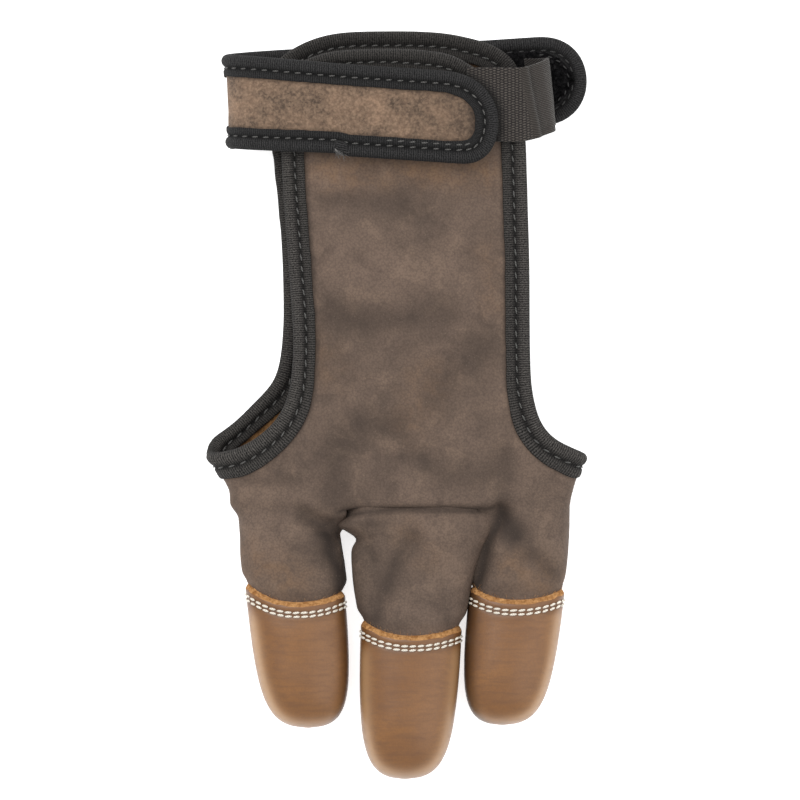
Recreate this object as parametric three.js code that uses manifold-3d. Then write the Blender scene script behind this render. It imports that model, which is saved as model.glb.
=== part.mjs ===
// Three-finger archery glove lying on a table, seen from above with its fingers towards -Y.
// The soft leather body is a flattened tube with a side opening for the thumb (-X) and one for the little
// finger (+X). It carries two side fingers in one piece, a separately sewn middle finger, three stiff
// fingertip stalls, one binding round every edge, and a wrist strap that an elastic closes.
// Millimetres. X runs across the hand, Y from the finger roots (0) to the wrist, Z up from the table.
import * as THREE from "three";
import { mergeVertices } from "three/addons/utils/BufferGeometryUtils.js";
import Module from "manifold-3d";

const wasm = await Module();
wasm.setup();

// Driving dimensions
const clearance = 0.3; // between neighbouring pieces
const bodyLeather = 1.2; // soft leather of the body and the finger tubes
const stallLeather = 2.0; // stiff leather of the fingertips
const tape = 0.8; // one layer of the binding tape
const tapeRoom = 0.42; // between the tape and the leather that it is folded over
const tapeReach = 6.0; // from the leather's edge inwards
const tapeFold = 1.6; // from the leather's edge out to the tape's fold

const frontLength = 132.3; // finger roots to the wrist edge of the front panel
const backLength = 138.1; // the same for the back panel
const knuckleWidth = 108; // fold to fold at the foot of the side openings
const handHeight = 17.4; // table side to top side at the knuckles, mid-leather
const foldHeight = 8.5; // height of the side folds above the table
const openingFoot = 15.6; // finger roots to the foot of both side openings
const openingDepthLeft = 22.6; // side fold to the front panel's straight edge
const openingDepthRight = 16.6;
const backOpeningExtra = 3.4; // how much further out the back panel's left edge stands
const wristCorner = 10; // corner radius of both panels at the wrist
const archRise = 9; // how far the panels' wrist edge rises in the middle

const strapLeather = 1.5;
const strapWidth = 25.4; // leather only, without the tape's fold
const strapFrontEnd = 26.0; // X of the leather at the front tip
const strapBackEnd = 52.4; // X of the leather at the flap's end
const strapMiddle = 118.2; // Y of the strap's middle line at the left fold
const strapSlope = 0.045; // Y gained for each mm along the strap, towards the flap
const strapTipRadius = 12.2;

const elasticThick = 1.1;
const elasticWidth = 22.6;
const elasticStart = 19; // X where it is sewn on the front panel
const elasticFold = 44.6; // X of its fold, at mid-thickness
const elasticEnd = 37.4; // X of its end on the loop pad
const elasticMiddle = 118.2;
const padThick = 0.9;
const padStart = 27; // X of the loop pad's inner end

// One row for each finger. The root and tip give X of the finger's middle line, the length runs from root to tip.
const fingers = [
  { name: "left", root: -32.4, tip: -26.6, length: 62.3, stall: 36.8, width: 29.2, height: 16.2, foldAt: 0.48 },
  { name: "middle", root: 4.6, tip: 1.5, length: 77.1, stall: 41.6, width: 29.8, height: 18.0, foldAt: 0.5 },
  { name: "right", root: 36.3, tip: 29.6, length: 61.5, stall: 36.3, width: 28.2, height: 16.0, foldAt: 0.47 },
];

// Free leather of a finger, from root (0) to the stall's edge (1): shares of the stall's width and height.
const sideFingerTube = [
  { at: -0.42, wide: 0.8, high: 0.8 },
  { at: -0.1, wide: 0.93, high: 0.93 },
  { at: 0.4, wide: 0.98, high: 0.99 },
  { at: 0.82, wide: 1.01, high: 1.01 },
  { at: 0.93, wide: 0.95, high: 0.93 },
];
const middleFingerTube = [
  { at: -0.13, wide: 1.3, high: 0.83 },
  { at: 0.06, wide: 1.33, high: 0.9 },
  { at: 0.2, wide: 1.24, high: 0.98 },
  { at: 0.42, wide: 1.22, high: 0.99 },
  { at: 0.64, wide: 1.12, high: 1.0 },
  { at: 0.86, wide: 1.04, high: 1.01 },
  { at: 0.94, wide: 0.95, high: 0.93 },
];
// A stall from its edge (0) to its tip (1): shares of the finger's width and height.
const stallSections = [
  { at: 0, wide: 0.985, high: 0.97 },
  { at: 0.3, wide: 0.965, high: 1.0 },
  { at: 0.58, wide: 0.905, high: 1.0 },
  { at: 0.74, wide: 0.83, high: 0.94 },
  { at: 0.86, wide: 0.71, high: 0.82 },
  { at: 0.94, wide: 0.54, high: 0.62 },
  { at: 0.985, wide: 0.3, high: 0.36 },
  { at: 1, wide: 0.14, high: 0.18 },
];
// The body from the finger roots (0) to the wrist (1): left and right are shares of half the knuckle width,
// top is a share of the hand's height and rise a share of the height of the strap that the wrist lies on.
const handSections = [
  { at: -0.011, left: 0.8, right: 0.83, top: 0.66, rise: 0, low: 0.28 },
  { at: 0.002, left: 0.85, right: 0.875, top: 0.87, rise: 0, low: 0.1 },
  { at: 0.018, left: 0.878, right: 0.9, top: 0.98, rise: 0, low: 0 },
  { at: 0.045, left: 0.9, right: 0.917, top: 1.01, rise: 0.03, low: 0 },
  { at: 0.078, left: 0.95, right: 0.941, top: 1.03, rise: 0.11, low: 0 },
  { at: 0.113, left: 1.0, right: 0.967, top: 1.04, rise: 0.175, low: 0 },
  { at: 0.15, left: 1.015, right: 0.972, top: 1.045, rise: 0.175, low: 0 },
  { at: 0.3, left: 0.98, right: 0.945, top: 1.05, rise: 0.175, low: 0 },
  { at: 0.48, left: 0.945, right: 0.905, top: 1.07, rise: 0.2, low: 0 },
  { at: 0.61, left: 0.9, right: 0.86, top: 1.1, rise: 0.42, low: 0 },
  { at: 0.69, left: 0.87, right: 0.835, top: 1.13, rise: 0.82, low: 0 },
  { at: 0.745, left: 0.862, right: 0.83, top: 1.14, rise: 1, low: 0 },
  { at: 1, left: 0.862, right: 0.83, top: 1.16, rise: 1, low: 0 },
];
// Edges of the panels between the foot of a side opening (up 0) and the wrist (up 1). In is the share of the
// opening's depth by which the leather's edge stands in from the side fold.
const frontLeftEdge = [
  { up: 0, in: 0 },
  { up: 0.006, in: 0.33 },
  { up: 0.025, in: 0.6 },
  { up: 0.066, in: 0.85 },
  { up: 0.16, in: 1 },
  { up: 0.45, in: 0.99 },
  { up: 0.9, in: 0.92 },
];
const frontRightEdge = [
  { up: 0, in: 0 },
  { up: 0.012, in: 0.17 },
  { up: 0.036, in: 0.5 },
  { up: 0.072, in: 0.74 },
  { up: 0.12, in: 0.88 },
  { up: 0.2, in: 0.97 },
  { up: 0.5, in: 1 },
  { up: 0.9, in: 1.04 },
];
const backLeftEdge = [
  { up: 0, in: 0 },
  { up: 0.012, in: 0.11 },
  { up: 0.04, in: 0.22 },
  { up: 0.078, in: 0.42 },
  { up: 0.125, in: 0.72 },
  { up: 0.18, in: 0.93 },
  { up: 0.26, in: 1.02 },
  { up: 0.45, in: 1.03 },
  { up: 0.9, in: 0.94 },
];

// Heights that follow from the thicknesses
const tapeHalf = bodyLeather / 2 + tapeRoom + tape; // outer face of the body's binding from mid-leather
const strapTapeHalf = strapLeather / 2 + tapeRoom + tape;
const strapInner = tapeHalf + clearance + strapTapeHalf; // mid-body-leather to mid-strap at the back
const elasticMid = tapeHalf + clearance + elasticThick / 2;
const strapOuter = tapeHalf + elasticThick + 2 * clearance + strapTapeHalf; // over the elastic, in front
const wristRise = strapTapeHalf + strapInner; // mid-leather of the back panel over the strap
const bodyRest = bodyLeather / 2;

// Shared helpers
const { lerp, smoothstep, clamp } = THREE.MathUtils;
const signedPower = (value, exponent) => Math.sign(value) * Math.abs(value) ** exponent;

// Reads one column of a table at a share, along a smooth curve through the rows.
function readTable(rows, key, column, value) {
  const last = rows.length - 1;
  if (value <= rows[0][key]) return rows[0][column];
  if (value >= rows[last][key]) return rows[last][column];
  const i = rows.findIndex((row, k) => k > 0 && value <= row[key]) - 1;
  const slope = (k) => {
    const [a, b] = [rows[Math.max(k - 1, 0)], rows[Math.min(k + 1, last)]];
    return (b[column] - a[column]) / (b[key] - a[key]);
  };
  const span = rows[i + 1][key] - rows[i][key];
  const t = (value - rows[i][key]) / span;
  const [from, to] = [rows[i][column], rows[i + 1][column]];
  const cubic =
    from * (1 + 2 * t) * (1 - t) ** 2 +
    to * t * t * (3 - 2 * t) +
    span * (slope(i) * t * (1 - t) ** 2 - slope(i + 1) * t * t * (1 - t));
  return clamp(cubic, Math.min(from, to), Math.max(from, to));
}

// A point of an oval section in the XZ plane, with its outward normal. The oval has a middle, a left and a
// right half-width, a top and a low height about its fold height, and an exponent above and below.
function ovalPoint(oval, angle, offset) {
  const [c, s] = [Math.cos(angle), Math.sin(angle)];
  const exponent = s >= 0 ? oval.roundTop : oval.roundLow;
  const halfWidth = c >= 0 ? oval.right : oval.left;
  const halfHeight = s >= 0 ? oval.top - oval.fold : oval.fold - oval.low;
  const x = halfWidth * signedPower(c, 2 / exponent);
  const z = halfHeight * signedPower(s, 2 / exponent);
  const normal = new THREE.Vector2(
    signedPower(x / halfWidth, exponent - 1) / halfWidth,
    signedPower(z / halfHeight, exponent - 1) / halfHeight,
  ).normalize();
  return new THREE.Vector3(oval.x + x + normal.x * offset, oval.y, oval.fold + z + normal.y * offset);
}

const ovalRing = (oval, count, offset) =>
  Array.from({ length: count }, (_, i) => ovalPoint(oval, (i / count) * 2 * Math.PI, offset));

// Closed solid lofted through rings of equal count. Ends are closed by fans.
function loft(rings, closed = false) {
  const count = rings[0].length;
  const positions = [];
  const triangle = (...points) => points.forEach((p) => positions.push(p.x, p.y, p.z));
  const steps = closed ? rings.length : rings.length - 1;
  for (let j = 0; j < steps; j++) {
    const [near, far] = [rings[j], rings[(j + 1) % rings.length]];
    for (let i = 0; i < count; i++) {
      const k = (i + 1) % count;
      triangle(near[i], near[k], far[k]);
      triangle(near[i], far[k], far[i]);
    }
  }
  if (!closed) {
    for (const [ring, turned] of [[rings[0], true], [rings.at(-1), false]]) {
      const centre = ring.reduce((sum, p) => sum.add(p), new THREE.Vector3()).divideScalar(count);
      for (let i = 0; i < count; i++) {
        const k = (i + 1) % count;
        if (turned) triangle(centre, ring[k], ring[i]);
        else triangle(centre, ring[i], ring[k]);
      }
    }
  }
  const geometry = new THREE.BufferGeometry();
  geometry.setAttribute("position", new THREE.Float32BufferAttribute(positions, 3));
  return geometry;
}

// Signed volume of a closed triangle soup.
function volumeOf(geometry) {
  const p = geometry.attributes.position;
  const corner = (i) => new THREE.Vector3().fromBufferAttribute(p, i);
  let sum = 0;
  for (let i = 0; i < p.count; i += 3) sum += corner(i).dot(corner(i + 1).cross(corner(i + 2)));
  return sum / 6;
}

function toSolid(geometry) {
  const bare = geometry.index ? geometry.toNonIndexed() : geometry.clone();
  const outwards = volumeOf(bare) > 0;
  for (const name of Object.keys(bare.attributes)) if (name !== "position") bare.deleteAttribute(name);
  const merged = mergeVertices(bare, 1e-4);
  const triVerts = new Uint32Array(merged.index.array);
  if (!outwards)
    for (let i = 0; i < triVerts.length; i += 3) [triVerts[i + 1], triVerts[i + 2]] = [triVerts[i + 2], triVerts[i + 1]];
  const vertProperties = merged.attributes.position.array;
  return new wasm.Manifold(new wasm.Mesh({ numProp: 3, vertProperties, triVerts }));
}

function toGeometry(solid) {
  const mesh = solid.getMesh();
  const geometry = new THREE.BufferGeometry();
  geometry.setAttribute("position", new THREE.BufferAttribute(new Float32Array(mesh.vertProperties), 3));
  geometry.setIndex(new THREE.BufferAttribute(new Uint32Array(mesh.triVerts), 1));
  const flat = geometry.toNonIndexed();
  flat.computeVertexNormals();
  return flat;
}

// Hand tube
const handRound = { roundTop: 2.2, roundLow: 3.2 };
const handCorner = (share) => (share * knuckleWidth) / 2;

function handOval(y) {
  const read = (column) => readTable(handSections, "at", column, y / backLength);
  const low = bodyRest + wristRise * read("rise") - bodyRest * read("rise");
  return {
    x: 0,
    y,
    left: handCorner(read("left")),
    right: handCorner(read("right")),
    fold: foldHeight + (low - bodyRest) * 0.45,
    top: handHeight * read("top") + bodyRest,
    low: low + (foldHeight - bodyRest) * read("low"),
    ...handRound,
  };
}

// A point on the hand tube beside or below a plan point, found by its direction from the section's middle.
function handPoint(near, offset) {
  const oval = handOval(near.y);
  const [dx, dz] = [near.x - oval.x, near.z - oval.fold];
  const exponent = dz >= 0 ? oval.roundTop : oval.roundLow;
  const halfWidth = dx >= 0 ? oval.right : oval.left;
  const halfHeight = dz >= 0 ? oval.top - oval.fold : oval.fold - oval.low;
  const angle = Math.atan2(signedPower(dz / halfHeight, exponent / 2), signedPower(dx / halfWidth, exponent / 2));
  return ovalPoint(oval, angle, offset);
}

// The hand tube's point straight above (side 1) or below (side -1) a plan point.
function handAt(x, y, side, offset = 0) {
  const oval = handOval(y);
  const exponent = side > 0 ? oval.roundTop : oval.roundLow;
  const share = clamp((x - oval.x) / (x >= oval.x ? oval.right : oval.left), -1, 1);
  const angle = Math.acos(signedPower(share, exponent / 2));
  return ovalPoint(oval, side > 0 ? angle : -angle, offset);
}

const handRows = [-0.011, 0.002, 0.018, 0.045, 0.078, 0.113, 0.15, 0.22, 0.34, 0.48, 0.57, 0.63, 0.69, 0.745, 1.06];
function handTube(offset, from = -1) {
  const rows = handRows.filter((at) => at > from);
  return toSolid(loft(rows.map((at) => ovalRing(handOval(at * backLength), 40, offset))));
}

// Plan outlines of the two panels, from one side fold over the wrist to the other, as leather edges
const edgeSteps = 22;
function sideEdge(rows, length, side, depth) {
  const points = [];
  for (let i = 0; i <= edgeSteps; i++) {
    const up = (i / edgeSteps) ** 1.7 * 0.9;
    const y = openingFoot + up * (length - openingFoot);
    const oval = handOval(openingFoot);
    const foot = side < 0 ? -oval.left : oval.right;
    points.push(new THREE.Vector2(foot - side * depth * readTable(rows, "up", "in", up), y));
  }
  return points;
}

function panelOutline(rowsLeft, rowsRight, length, depthLeft, depthRight) {
  const left = sideEdge(rowsLeft, length, -1, depthLeft);
  const right = sideEdge(rowsRight, length, 1, depthRight);
  const [from, to] = [left.pop(), right.pop()];
  const outline = new THREE.Path(left);
  const shoulder = length - archRise * 0.62;
  outline.quadraticCurveTo(from.x, shoulder - wristCorner * 0.1, from.x + wristCorner, shoulder);
  outline.quadraticCurveTo((from.x + to.x) / 2, length + archRise * 0.55, to.x - wristCorner, shoulder);
  outline.quadraticCurveTo(to.x, shoulder - wristCorner * 0.1, right.at(-1).x, right.at(-1).y);
  right.reverse().slice(1).forEach((p) => outline.lineTo(p.x, p.y));
  return outline.getPoints(10);
}

const frontOutline = panelOutline(frontLeftEdge, frontRightEdge, frontLength, openingDepthLeft, openingDepthRight);
const backOutline = panelOutline(
  backLeftEdge,
  frontRightEdge,
  backLength,
  openingDepthLeft - backOpeningExtra,
  openingDepthRight + 2 * clearance,
);

// Everything that a panel keeps on its side of the folds, as an upright prism. The leather stops a little
// short of the line that its binding follows.
function keptPrism(outline, side) {
  const [far, below] = [knuckleWidth, -2 * knuckleWidth];
  const cut = outline.map((p, i) => {
    const ahead = outline[Math.min(i + 1, outline.length - 1)];
    const along = ahead.clone().sub(outline[Math.max(i - 1, 0)]).normalize();
    return new THREE.Vector2(p.x + along.y * 1.5 * clearance, p.y - along.x * 1.5 * clearance);
  });
  const shape = new THREE.Shape([
    ...cut,
    new THREE.Vector2(far, cut.at(-1).y),
    new THREE.Vector2(far, below),
    new THREE.Vector2(-far, below),
    new THREE.Vector2(-far, cut[0].y),
  ]);
  const depth = 3 * handHeight;
  const geometry = new THREE.ExtrudeGeometry(shape, { depth, bevelEnabled: false });
  geometry.translate(0, 0, side > 0 ? foldHeight + 1e-3 : foldHeight - depth + 2e-3);
  return toSolid(geometry);
}

// Fingers
const fingerRound = { roundTop: 2.25, roundLow: 3.0 };
function fingerOval(finger, y, wide, high) {
  const along = clamp(-y / finger.length, -0.2, 1);
  const height = finger.height * high;
  const low = finger.height * Math.max(1 - high, 0) * 0.42;
  return {
    x: lerp(finger.root, finger.tip, along),
    y,
    left: (finger.width * wide) / 2,
    right: (finger.width * wide) / 2,
    fold: low + height * finger.foldAt,
    top: low + height,
    low,
    ...fingerRound,
  };
}

const stallEdge = (finger) => -(finger.length - finger.stall);
const fingerSides = 20;

// The leather tube, from inside the hand to inside its stall. Offset 0 is its outer face.
function fingerTube(finger, rows, offset, reach) {
  const free = finger.length - finger.stall;
  const rings = rows.map((row) =>
    ovalRing(fingerOval(finger, -row.at * free, row.wide, row.high), fingerSides, offset),
  );
  const narrow = -(stallLeather + clearance);
  for (const inside of [-0.02, 0.14, 0.3]) {
    const row = stallAt(Math.max(inside, 0));
    const y = stallEdge(finger) - inside * finger.stall;
    rings.push(ovalRing(fingerOval(finger, y, row.wide, row.high), fingerSides, offset + narrow));
  }
  if (reach) rings.push(rings.at(-1).map((p) => new THREE.Vector3(p.x, p.y - reach, p.z)));
  return toSolid(loft(rings));
}

const stallAt = (at) => ({
  wide: readTable(stallSections, "at", "wide", at),
  high: readTable(stallSections, "at", "high", at),
});

// The stall, a cup of one thickness: its outer face, its inner face and the rim between them
function fingerStall(finger) {
  const shares = [0, 0.14, 0.3, 0.58, 0.74, 0.86, 0.94, 0.985, 1];
  const oval = (at) => {
    const row = stallAt(at);
    return fingerOval(finger, stallEdge(finger) - at * finger.stall, row.wide, row.high);
  };
  const outer = shares.map((at) => ovalRing(oval(at), fingerSides, 0));
  const innerEnd = 1 - stallLeather / finger.stall;
  const inner = [-0.05, 0.14, 0.3, 0.58, 0.74, 0.84, 0.9].map((at) => {
    const scaled = Math.max(at, 0) * innerEnd;
    const row = stallAt(Math.max(at, 0));
    const y = stallEdge(finger) - (at < 0 ? at : scaled) * finger.stall;
    return ovalRing(fingerOval(finger, y, row.wide, row.high), fingerSides, -stallLeather);
  });
  return toSolid(loft(outer)).subtract(toSolid(loft(inner)));
}

// Binding tape: a folded strip swept along a closed leather edge. The surface gives a point at an offset from
// mid-leather, near any point. Reach is how far the legs lie over the leather.
function tapeProfile(half, reach) {
  const [inner, outer] = [half + tapeRoom, half + tapeRoom + tape];
  const slot = -(tapeFold - tape);
  return [
    [reach, outer],
    [0.2 * reach, outer],
    [-0.72 * tapeFold, 0.68 * outer],
    [-tapeFold, 0],
    [-0.72 * tapeFold, -0.68 * outer],
    [0.2 * reach, -outer],
    [reach, -outer],
    [reach, -inner],
    [slot, -inner],
    [slot, inner],
    [reach, inner],
  ];
}

// Keeps the points of a closed loop on a surface where it has turned, tilted or run on far enough
function thinned(points, normals, maxTurn, maxStep) {
  const kept = [];
  let turned = Infinity;
  let run = 0;
  const count = points.length;
  for (let i = 0; i < count; i++) {
    const before = points[i].clone().sub(points[(i + count - 1) % count]);
    const after = points[(i + 1) % count].clone().sub(points[i]);
    turned += Math.hypot(before.angleTo(after), normals[i].angleTo(normals[(i + 1) % count]));
    run += before.length();
    if (turned > maxTurn || run > maxStep) {
      kept.push(i);
      turned = 0;
      run = 0;
    }
  }
  return kept;
}

function evenLoop(points, step) {
  const dense = new THREE.CurvePath();
  points.forEach((p, i) => dense.add(new THREE.LineCurve3(p, points[(i + 1) % points.length])));
  return dense.getSpacedPoints(Math.round(dense.getLength() / step)).slice(0, -1);
}

function binding(loop, surface, half, reach, inwardSign, maxTurn, maxStep) {
  const points = evenLoop(loop, 0.8).map((p) => surface(p, 0));
  const count = points.length;
  const profile = tapeProfile(half, reach);
  const normals = points.map((p) => surface(p, 1).sub(surface(p, 0)).normalize());
  const rings = thinned(points, normals, maxTurn, maxStep).map((i) => {
    const here = points[i];
    const ahead = points[(i + 2) % count];
    const behind = points[(i + count - 2) % count];
    const tangent = ahead.clone().sub(behind).normalize();
    const normal = normals[i];
    const inward = normal.clone().cross(tangent).multiplyScalar(inwardSign).normalize();
    return profile.map(([along, away]) => {
      const moved = here.clone().addScaledVector(inward, along);
      return along > 0 ? surface(moved, away) : moved.addScaledVector(normal, away);
    });
  });
  return toSolid(loft(rings, true));
}

// Strap section in the XZ plane, from the flap's end under the hand, round the left fold and over the front
function strapSection() {
  const oval = handOval(strapMiddle);
  const points = [];
  const under = strapTapeHalf;
  const lineEnd = oval.x;
  for (let i = 0; i <= 12; i++) points.push(new THREE.Vector2(lerp(strapBackEnd + 6, lineEnd, i / 12), under));
  const full = Math.PI * 1.5;
  for (let i = 1; i <= 90; i++) {
    const angle = full - (i / 90) * (full - 0.12);
    const lift = lerp(strapInner, strapOuter, smoothstep(-angle, -Math.PI * 1.05, -Math.PI * 0.55));
    const p = ovalPoint(oval, angle, lift);
    points.push(new THREE.Vector2(p.x, p.z));
  }
  return points;
}

const strapLine = strapSection();
const strapRun = strapLine.map(() => 0);
for (let i = 1; i < strapLine.length; i++) strapRun[i] = strapRun[i - 1] + strapLine[i].distanceTo(strapLine[i - 1]);

// Strap coordinates: run along the section, Y, and offset towards the outside
function strapPoint(run, y, offset) {
  const i = clamp(strapRun.findIndex((r) => r > run) - 1, 0, strapLine.length - 2);
  const t = (run - strapRun[i]) / (strapRun[i + 1] - strapRun[i]);
  const slope = (k) => {
    const a = strapLine[Math.max(k - 1, 0)];
    const b = strapLine[Math.min(k + 1, strapLine.length - 1)];
    return b.clone().sub(a).normalize();
  };
  const along = slope(i).lerp(slope(i + 1), t).normalize();
  const p = strapLine[i].clone().lerp(strapLine[i + 1], t);
  return new THREE.Vector3(p.x - along.y * -offset * -1, y, p.y + along.x * offset);
}

// Run along the section where it passes an X, on the under side or over the front
function strapRunAt(x, over) {
  const middle = strapLine.reduce((best, p, i) => (p.x < strapLine[best].x ? i : best), 0);
  const range = over ? [middle, strapLine.length - 2] : [0, middle - 1];
  for (let i = range[0]; i <= range[1]; i++) {
    const [a, b] = [strapLine[i].x, strapLine[i + 1].x];
    if ((a - x) * (b - x) <= 0 && a !== b) return lerp(strapRun[i], strapRun[i + 1], (x - a) / (b - a));
  }
  return strapRun.at(-1);
}

const strapStart = strapRunAt(strapBackEnd, false);
const strapFinish = strapRunAt(strapFrontEnd, true);
const strapFoldRun = strapRun[strapLine.reduce((best, p, i) => (p.x < strapLine[best].x ? i : best), 0)];
const strapY = (run) => strapMiddle + (strapFoldRun - run) * strapSlope;

// Half the strap leather's width at a run: round at both ends
function strapHalf(run) {
  const end = Math.min(run - strapStart, strapFinish - run);
  if (end >= strapTipRadius) return strapWidth / 2;
  const t = 1 - Math.max(end, 0) / strapTipRadius;
  return (strapWidth / 2) * (1 - t ** 2.4) ** (1 / 2.1);
}

// A band along the strap's section between two runs, with more rings where it bends or narrows
function strapBand(from, to, halfAt, innerOffset, outerOffset) {
  const runs = [from];
  let turned = 0;
  for (let run = from; run < to; run += 0.4) {
    const heading = (at) => strapPoint(at, 0, 1).sub(strapPoint(at, 0, 0));
    turned += heading(run).angleTo(heading(run + 0.4));
    const end = Math.min(run - from, to - run);
    const limit = clamp(0.35 * end, 0.7, 8);
    if (turned < 0.16 && run - runs.at(-1) < limit) continue;
    runs.push(run);
    turned = 0;
  }
  runs.push(to);
  const rings = runs.map((run) => {
    const half = Math.max(halfAt(run), 0.8);
    return [
      [-half, innerOffset],
      [half, innerOffset],
      [half, outerOffset],
      [-half, outerOffset],
    ].map(([across, away]) => strapPoint(run, strapY(run) + across, away));
  });
  return toSolid(loft(rings));
}

const strapOutline = [];
for (const side of [1, -1]) {
  const steps = 120;
  for (let i = 0; i < steps; i++) {
    const t = side > 0 ? i / steps : 1 - i / steps;
    const eased = (1 - Math.cos(Math.PI * t)) / 2;
    const run = lerp(strapStart, strapFinish, eased);
    strapOutline.push(new THREE.Vector3(run, strapY(run) + side * strapHalf(run), 0));
  }
}

// The strap's binding is swept in the strap's flat coordinates and then bent round the wrist
function strapBinding() {
  const points = evenLoop(strapOutline, 0.8);
  const count = points.length;
  const bent = points.map((p) => strapPoint(p.x, p.y, 0));
  const profile = tapeProfile(strapLeather / 2, tapeReach);
  const normals = points.map((p) => strapPoint(p.x, 0, 1).sub(strapPoint(p.x, 0, 0)));
  const rings = thinned(bent, normals, 0.3, 8).map((i) => {
    const tangent = points[(i + 2) % count].clone().sub(points[(i + count - 2) % count]).normalize();
    const inward = new THREE.Vector3(tangent.y, -tangent.x, 0);
    return profile.map(([along, away]) => {
      const flat = points[i].clone().addScaledVector(inward, along);
      return strapPoint(flat.x, flat.y, away);
    });
  });
  return toSolid(loft(rings, true));
}

// Elastic: over the right edge of the front panel, round its own fold and back onto the loop pad
function elasticBand() {
  const lower = 2 * strapTapeHalf + clearance + elasticThick / 2;
  const line = [];
  for (let i = 0; i <= 8; i++) {
    const x = lerp(elasticStart, elasticFold - 8.6, i / 8);
    const p = handAt(x, elasticMiddle, 1, elasticMid);
    line.push(new THREE.Vector3(p.x, 0, p.z));
  }
  const top = line.at(-1);
  const fold = new THREE.Vector3(elasticFold, 0, lerp(lower, top.z, 0.46));
  const drop = new THREE.CubicBezierCurve3(
    top,
    new THREE.Vector3(elasticFold - 2.2, 0, top.z - 2.6),
    new THREE.Vector3(elasticFold, 0, fold.z + 3.4),
    fold,
  );
  const back = new THREE.CubicBezierCurve3(
    fold,
    new THREE.Vector3(elasticFold, 0, fold.z - 3.4),
    new THREE.Vector3(elasticFold - 1.6, 0, lower),
    new THREE.Vector3(elasticEnd, 0, lower),
  );
  line.push(...drop.getPoints(7).slice(1), ...back.getPoints(7).slice(1));
  const rings = line.map((p, i) => {
    const along = line[Math.min(i + 1, line.length - 1)].clone().sub(line[Math.max(i - 1, 0)]).normalize();
    const out = new THREE.Vector3(-along.z, 0, along.x);
    const share = i / (line.length - 1);
    const middle = elasticMiddle + 1.4 * smoothstep(share, 0.35, 0.8);
    const half = (elasticWidth / 2) * (1 - 0.06 * smoothstep(share, 0.4, 0.7));
    return [
      [-half, -elasticThick / 2],
      [half, -elasticThick / 2],
      [half, elasticThick / 2],
      [-half, elasticThick / 2],
    ].map(([across, away]) => {
      return p.clone().addScaledVector(out, away).setY(middle + across);
    });
  });
  return toSolid(loft(rings));
}

// Build
const [leftFinger, middleFinger, rightFinger] = fingers;
const kept = keptPrism(frontOutline, 1).add(keptPrism(backOutline, -1));
const past = 3; // how far hollows run on through an open end
const handOuter = handTube(bodyLeather / 2);
const handInner = handTube(-bodyLeather / 2, 0);
const sideOuter = [leftFinger, rightFinger].map((f) => fingerTube(f, sideFingerTube, 0, 0));
const sideInner = [leftFinger, rightFinger].map((f) => fingerTube(f, sideFingerTube, -bodyLeather, past));
const middleRoom = fingerTube(middleFinger, middleFingerTube, clearance, past);

const bodySolid = handOuter
  .intersect(kept)
  .add(sideOuter[0])
  .add(sideOuter[1])
  .subtract(handInner)
  .subtract(sideInner[0])
  .subtract(sideInner[1])
  .subtract(middleRoom);

function longHollow(finger, rows) {
  const opened = rows.map((row, i) => (i ? row : { ...row, at: row.at - 0.3 }));
  return fingerTube(finger, opened, -bodyLeather, past);
}
const middleSolid = fingerTube(middleFinger, middleFingerTube, 0, 0).subtract(
  longHollow(middleFinger, middleFingerTube),
);

const strapSolid = strapBand(strapStart, strapFinish, strapHalf, -strapLeather / 2, strapLeather / 2);
// The pad lies on the flap's inner face, between the legs of the strap's tape
const padInset = tapeReach + clearance;
const padHalf = (run) => strapHalf(run - 0.9 * padInset) - padInset;
const padFloor = strapLeather / 2 + clearance;
const padSolid = strapBand(
  strapStart + padInset + 2 * clearance,
  strapRunAt(padStart, false),
  padHalf,
  -padFloor - padThick,
  -padFloor,
);

// The closed loop of the body's leather edge: front panel, right fold, back panel, left fold
const edgeLoop = [
  ...frontOutline.map((p) => handAt(p.x, p.y, 1)),
  ...backOutline
    .slice(1, -1)
    .reverse()
    .map((p) => handAt(p.x, p.y, -1)),
];

const leatherBrown = new THREE.MeshStandardMaterial({ color: 0x5f5045, roughness: 0.85, metalness: 0 });
const stallBrown = new THREE.MeshStandardMaterial({ color: 0x8c6242, roughness: 0.5, metalness: 0 });
const tapeBlack = new THREE.MeshStandardMaterial({ color: 0x222224, roughness: 0.9, metalness: 0 });
const strapBrown = new THREE.MeshStandardMaterial({ color: 0x7b6450, roughness: 0.85, metalness: 0 });
const elasticGrey = new THREE.MeshStandardMaterial({ color: 0x453f39, roughness: 0.9, metalness: 0 });
const padBlack = new THREE.MeshStandardMaterial({ color: 0x141414, roughness: 1, metalness: 0 });

const glove = new THREE.Group();
function place(name, solid, material) {
  const mesh = new THREE.Mesh(toGeometry(solid), material);
  mesh.name = name;
  glove.add(mesh);
}

place("body_leather", bodySolid, leatherBrown);
place("middle_finger", middleSolid, leatherBrown);
for (const finger of fingers) place(`stall_${finger.name}`, fingerStall(finger), stallBrown);
place("edge_binding", binding(edgeLoop, handPoint, bodyLeather / 2, tapeReach, -1, 0.24, 11), tapeBlack);
place("wrist_strap", strapSolid, strapBrown);
place("strap_binding", strapBinding(), tapeBlack);
place("elastic_band", elasticBand(), elasticGrey);
place("loop_pad", padSolid, padBlack);

// The origin is the middle of the box's underside
const box = new THREE.Box3().setFromObject(glove);
const middle = box.getCenter(new THREE.Vector3());
glove.position.set(-middle.x, -middle.y, -box.min.z);

export default glove;
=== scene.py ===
import bpy
import bmesh
import math
from mathutils import Matrix, Vector, noise


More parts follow.
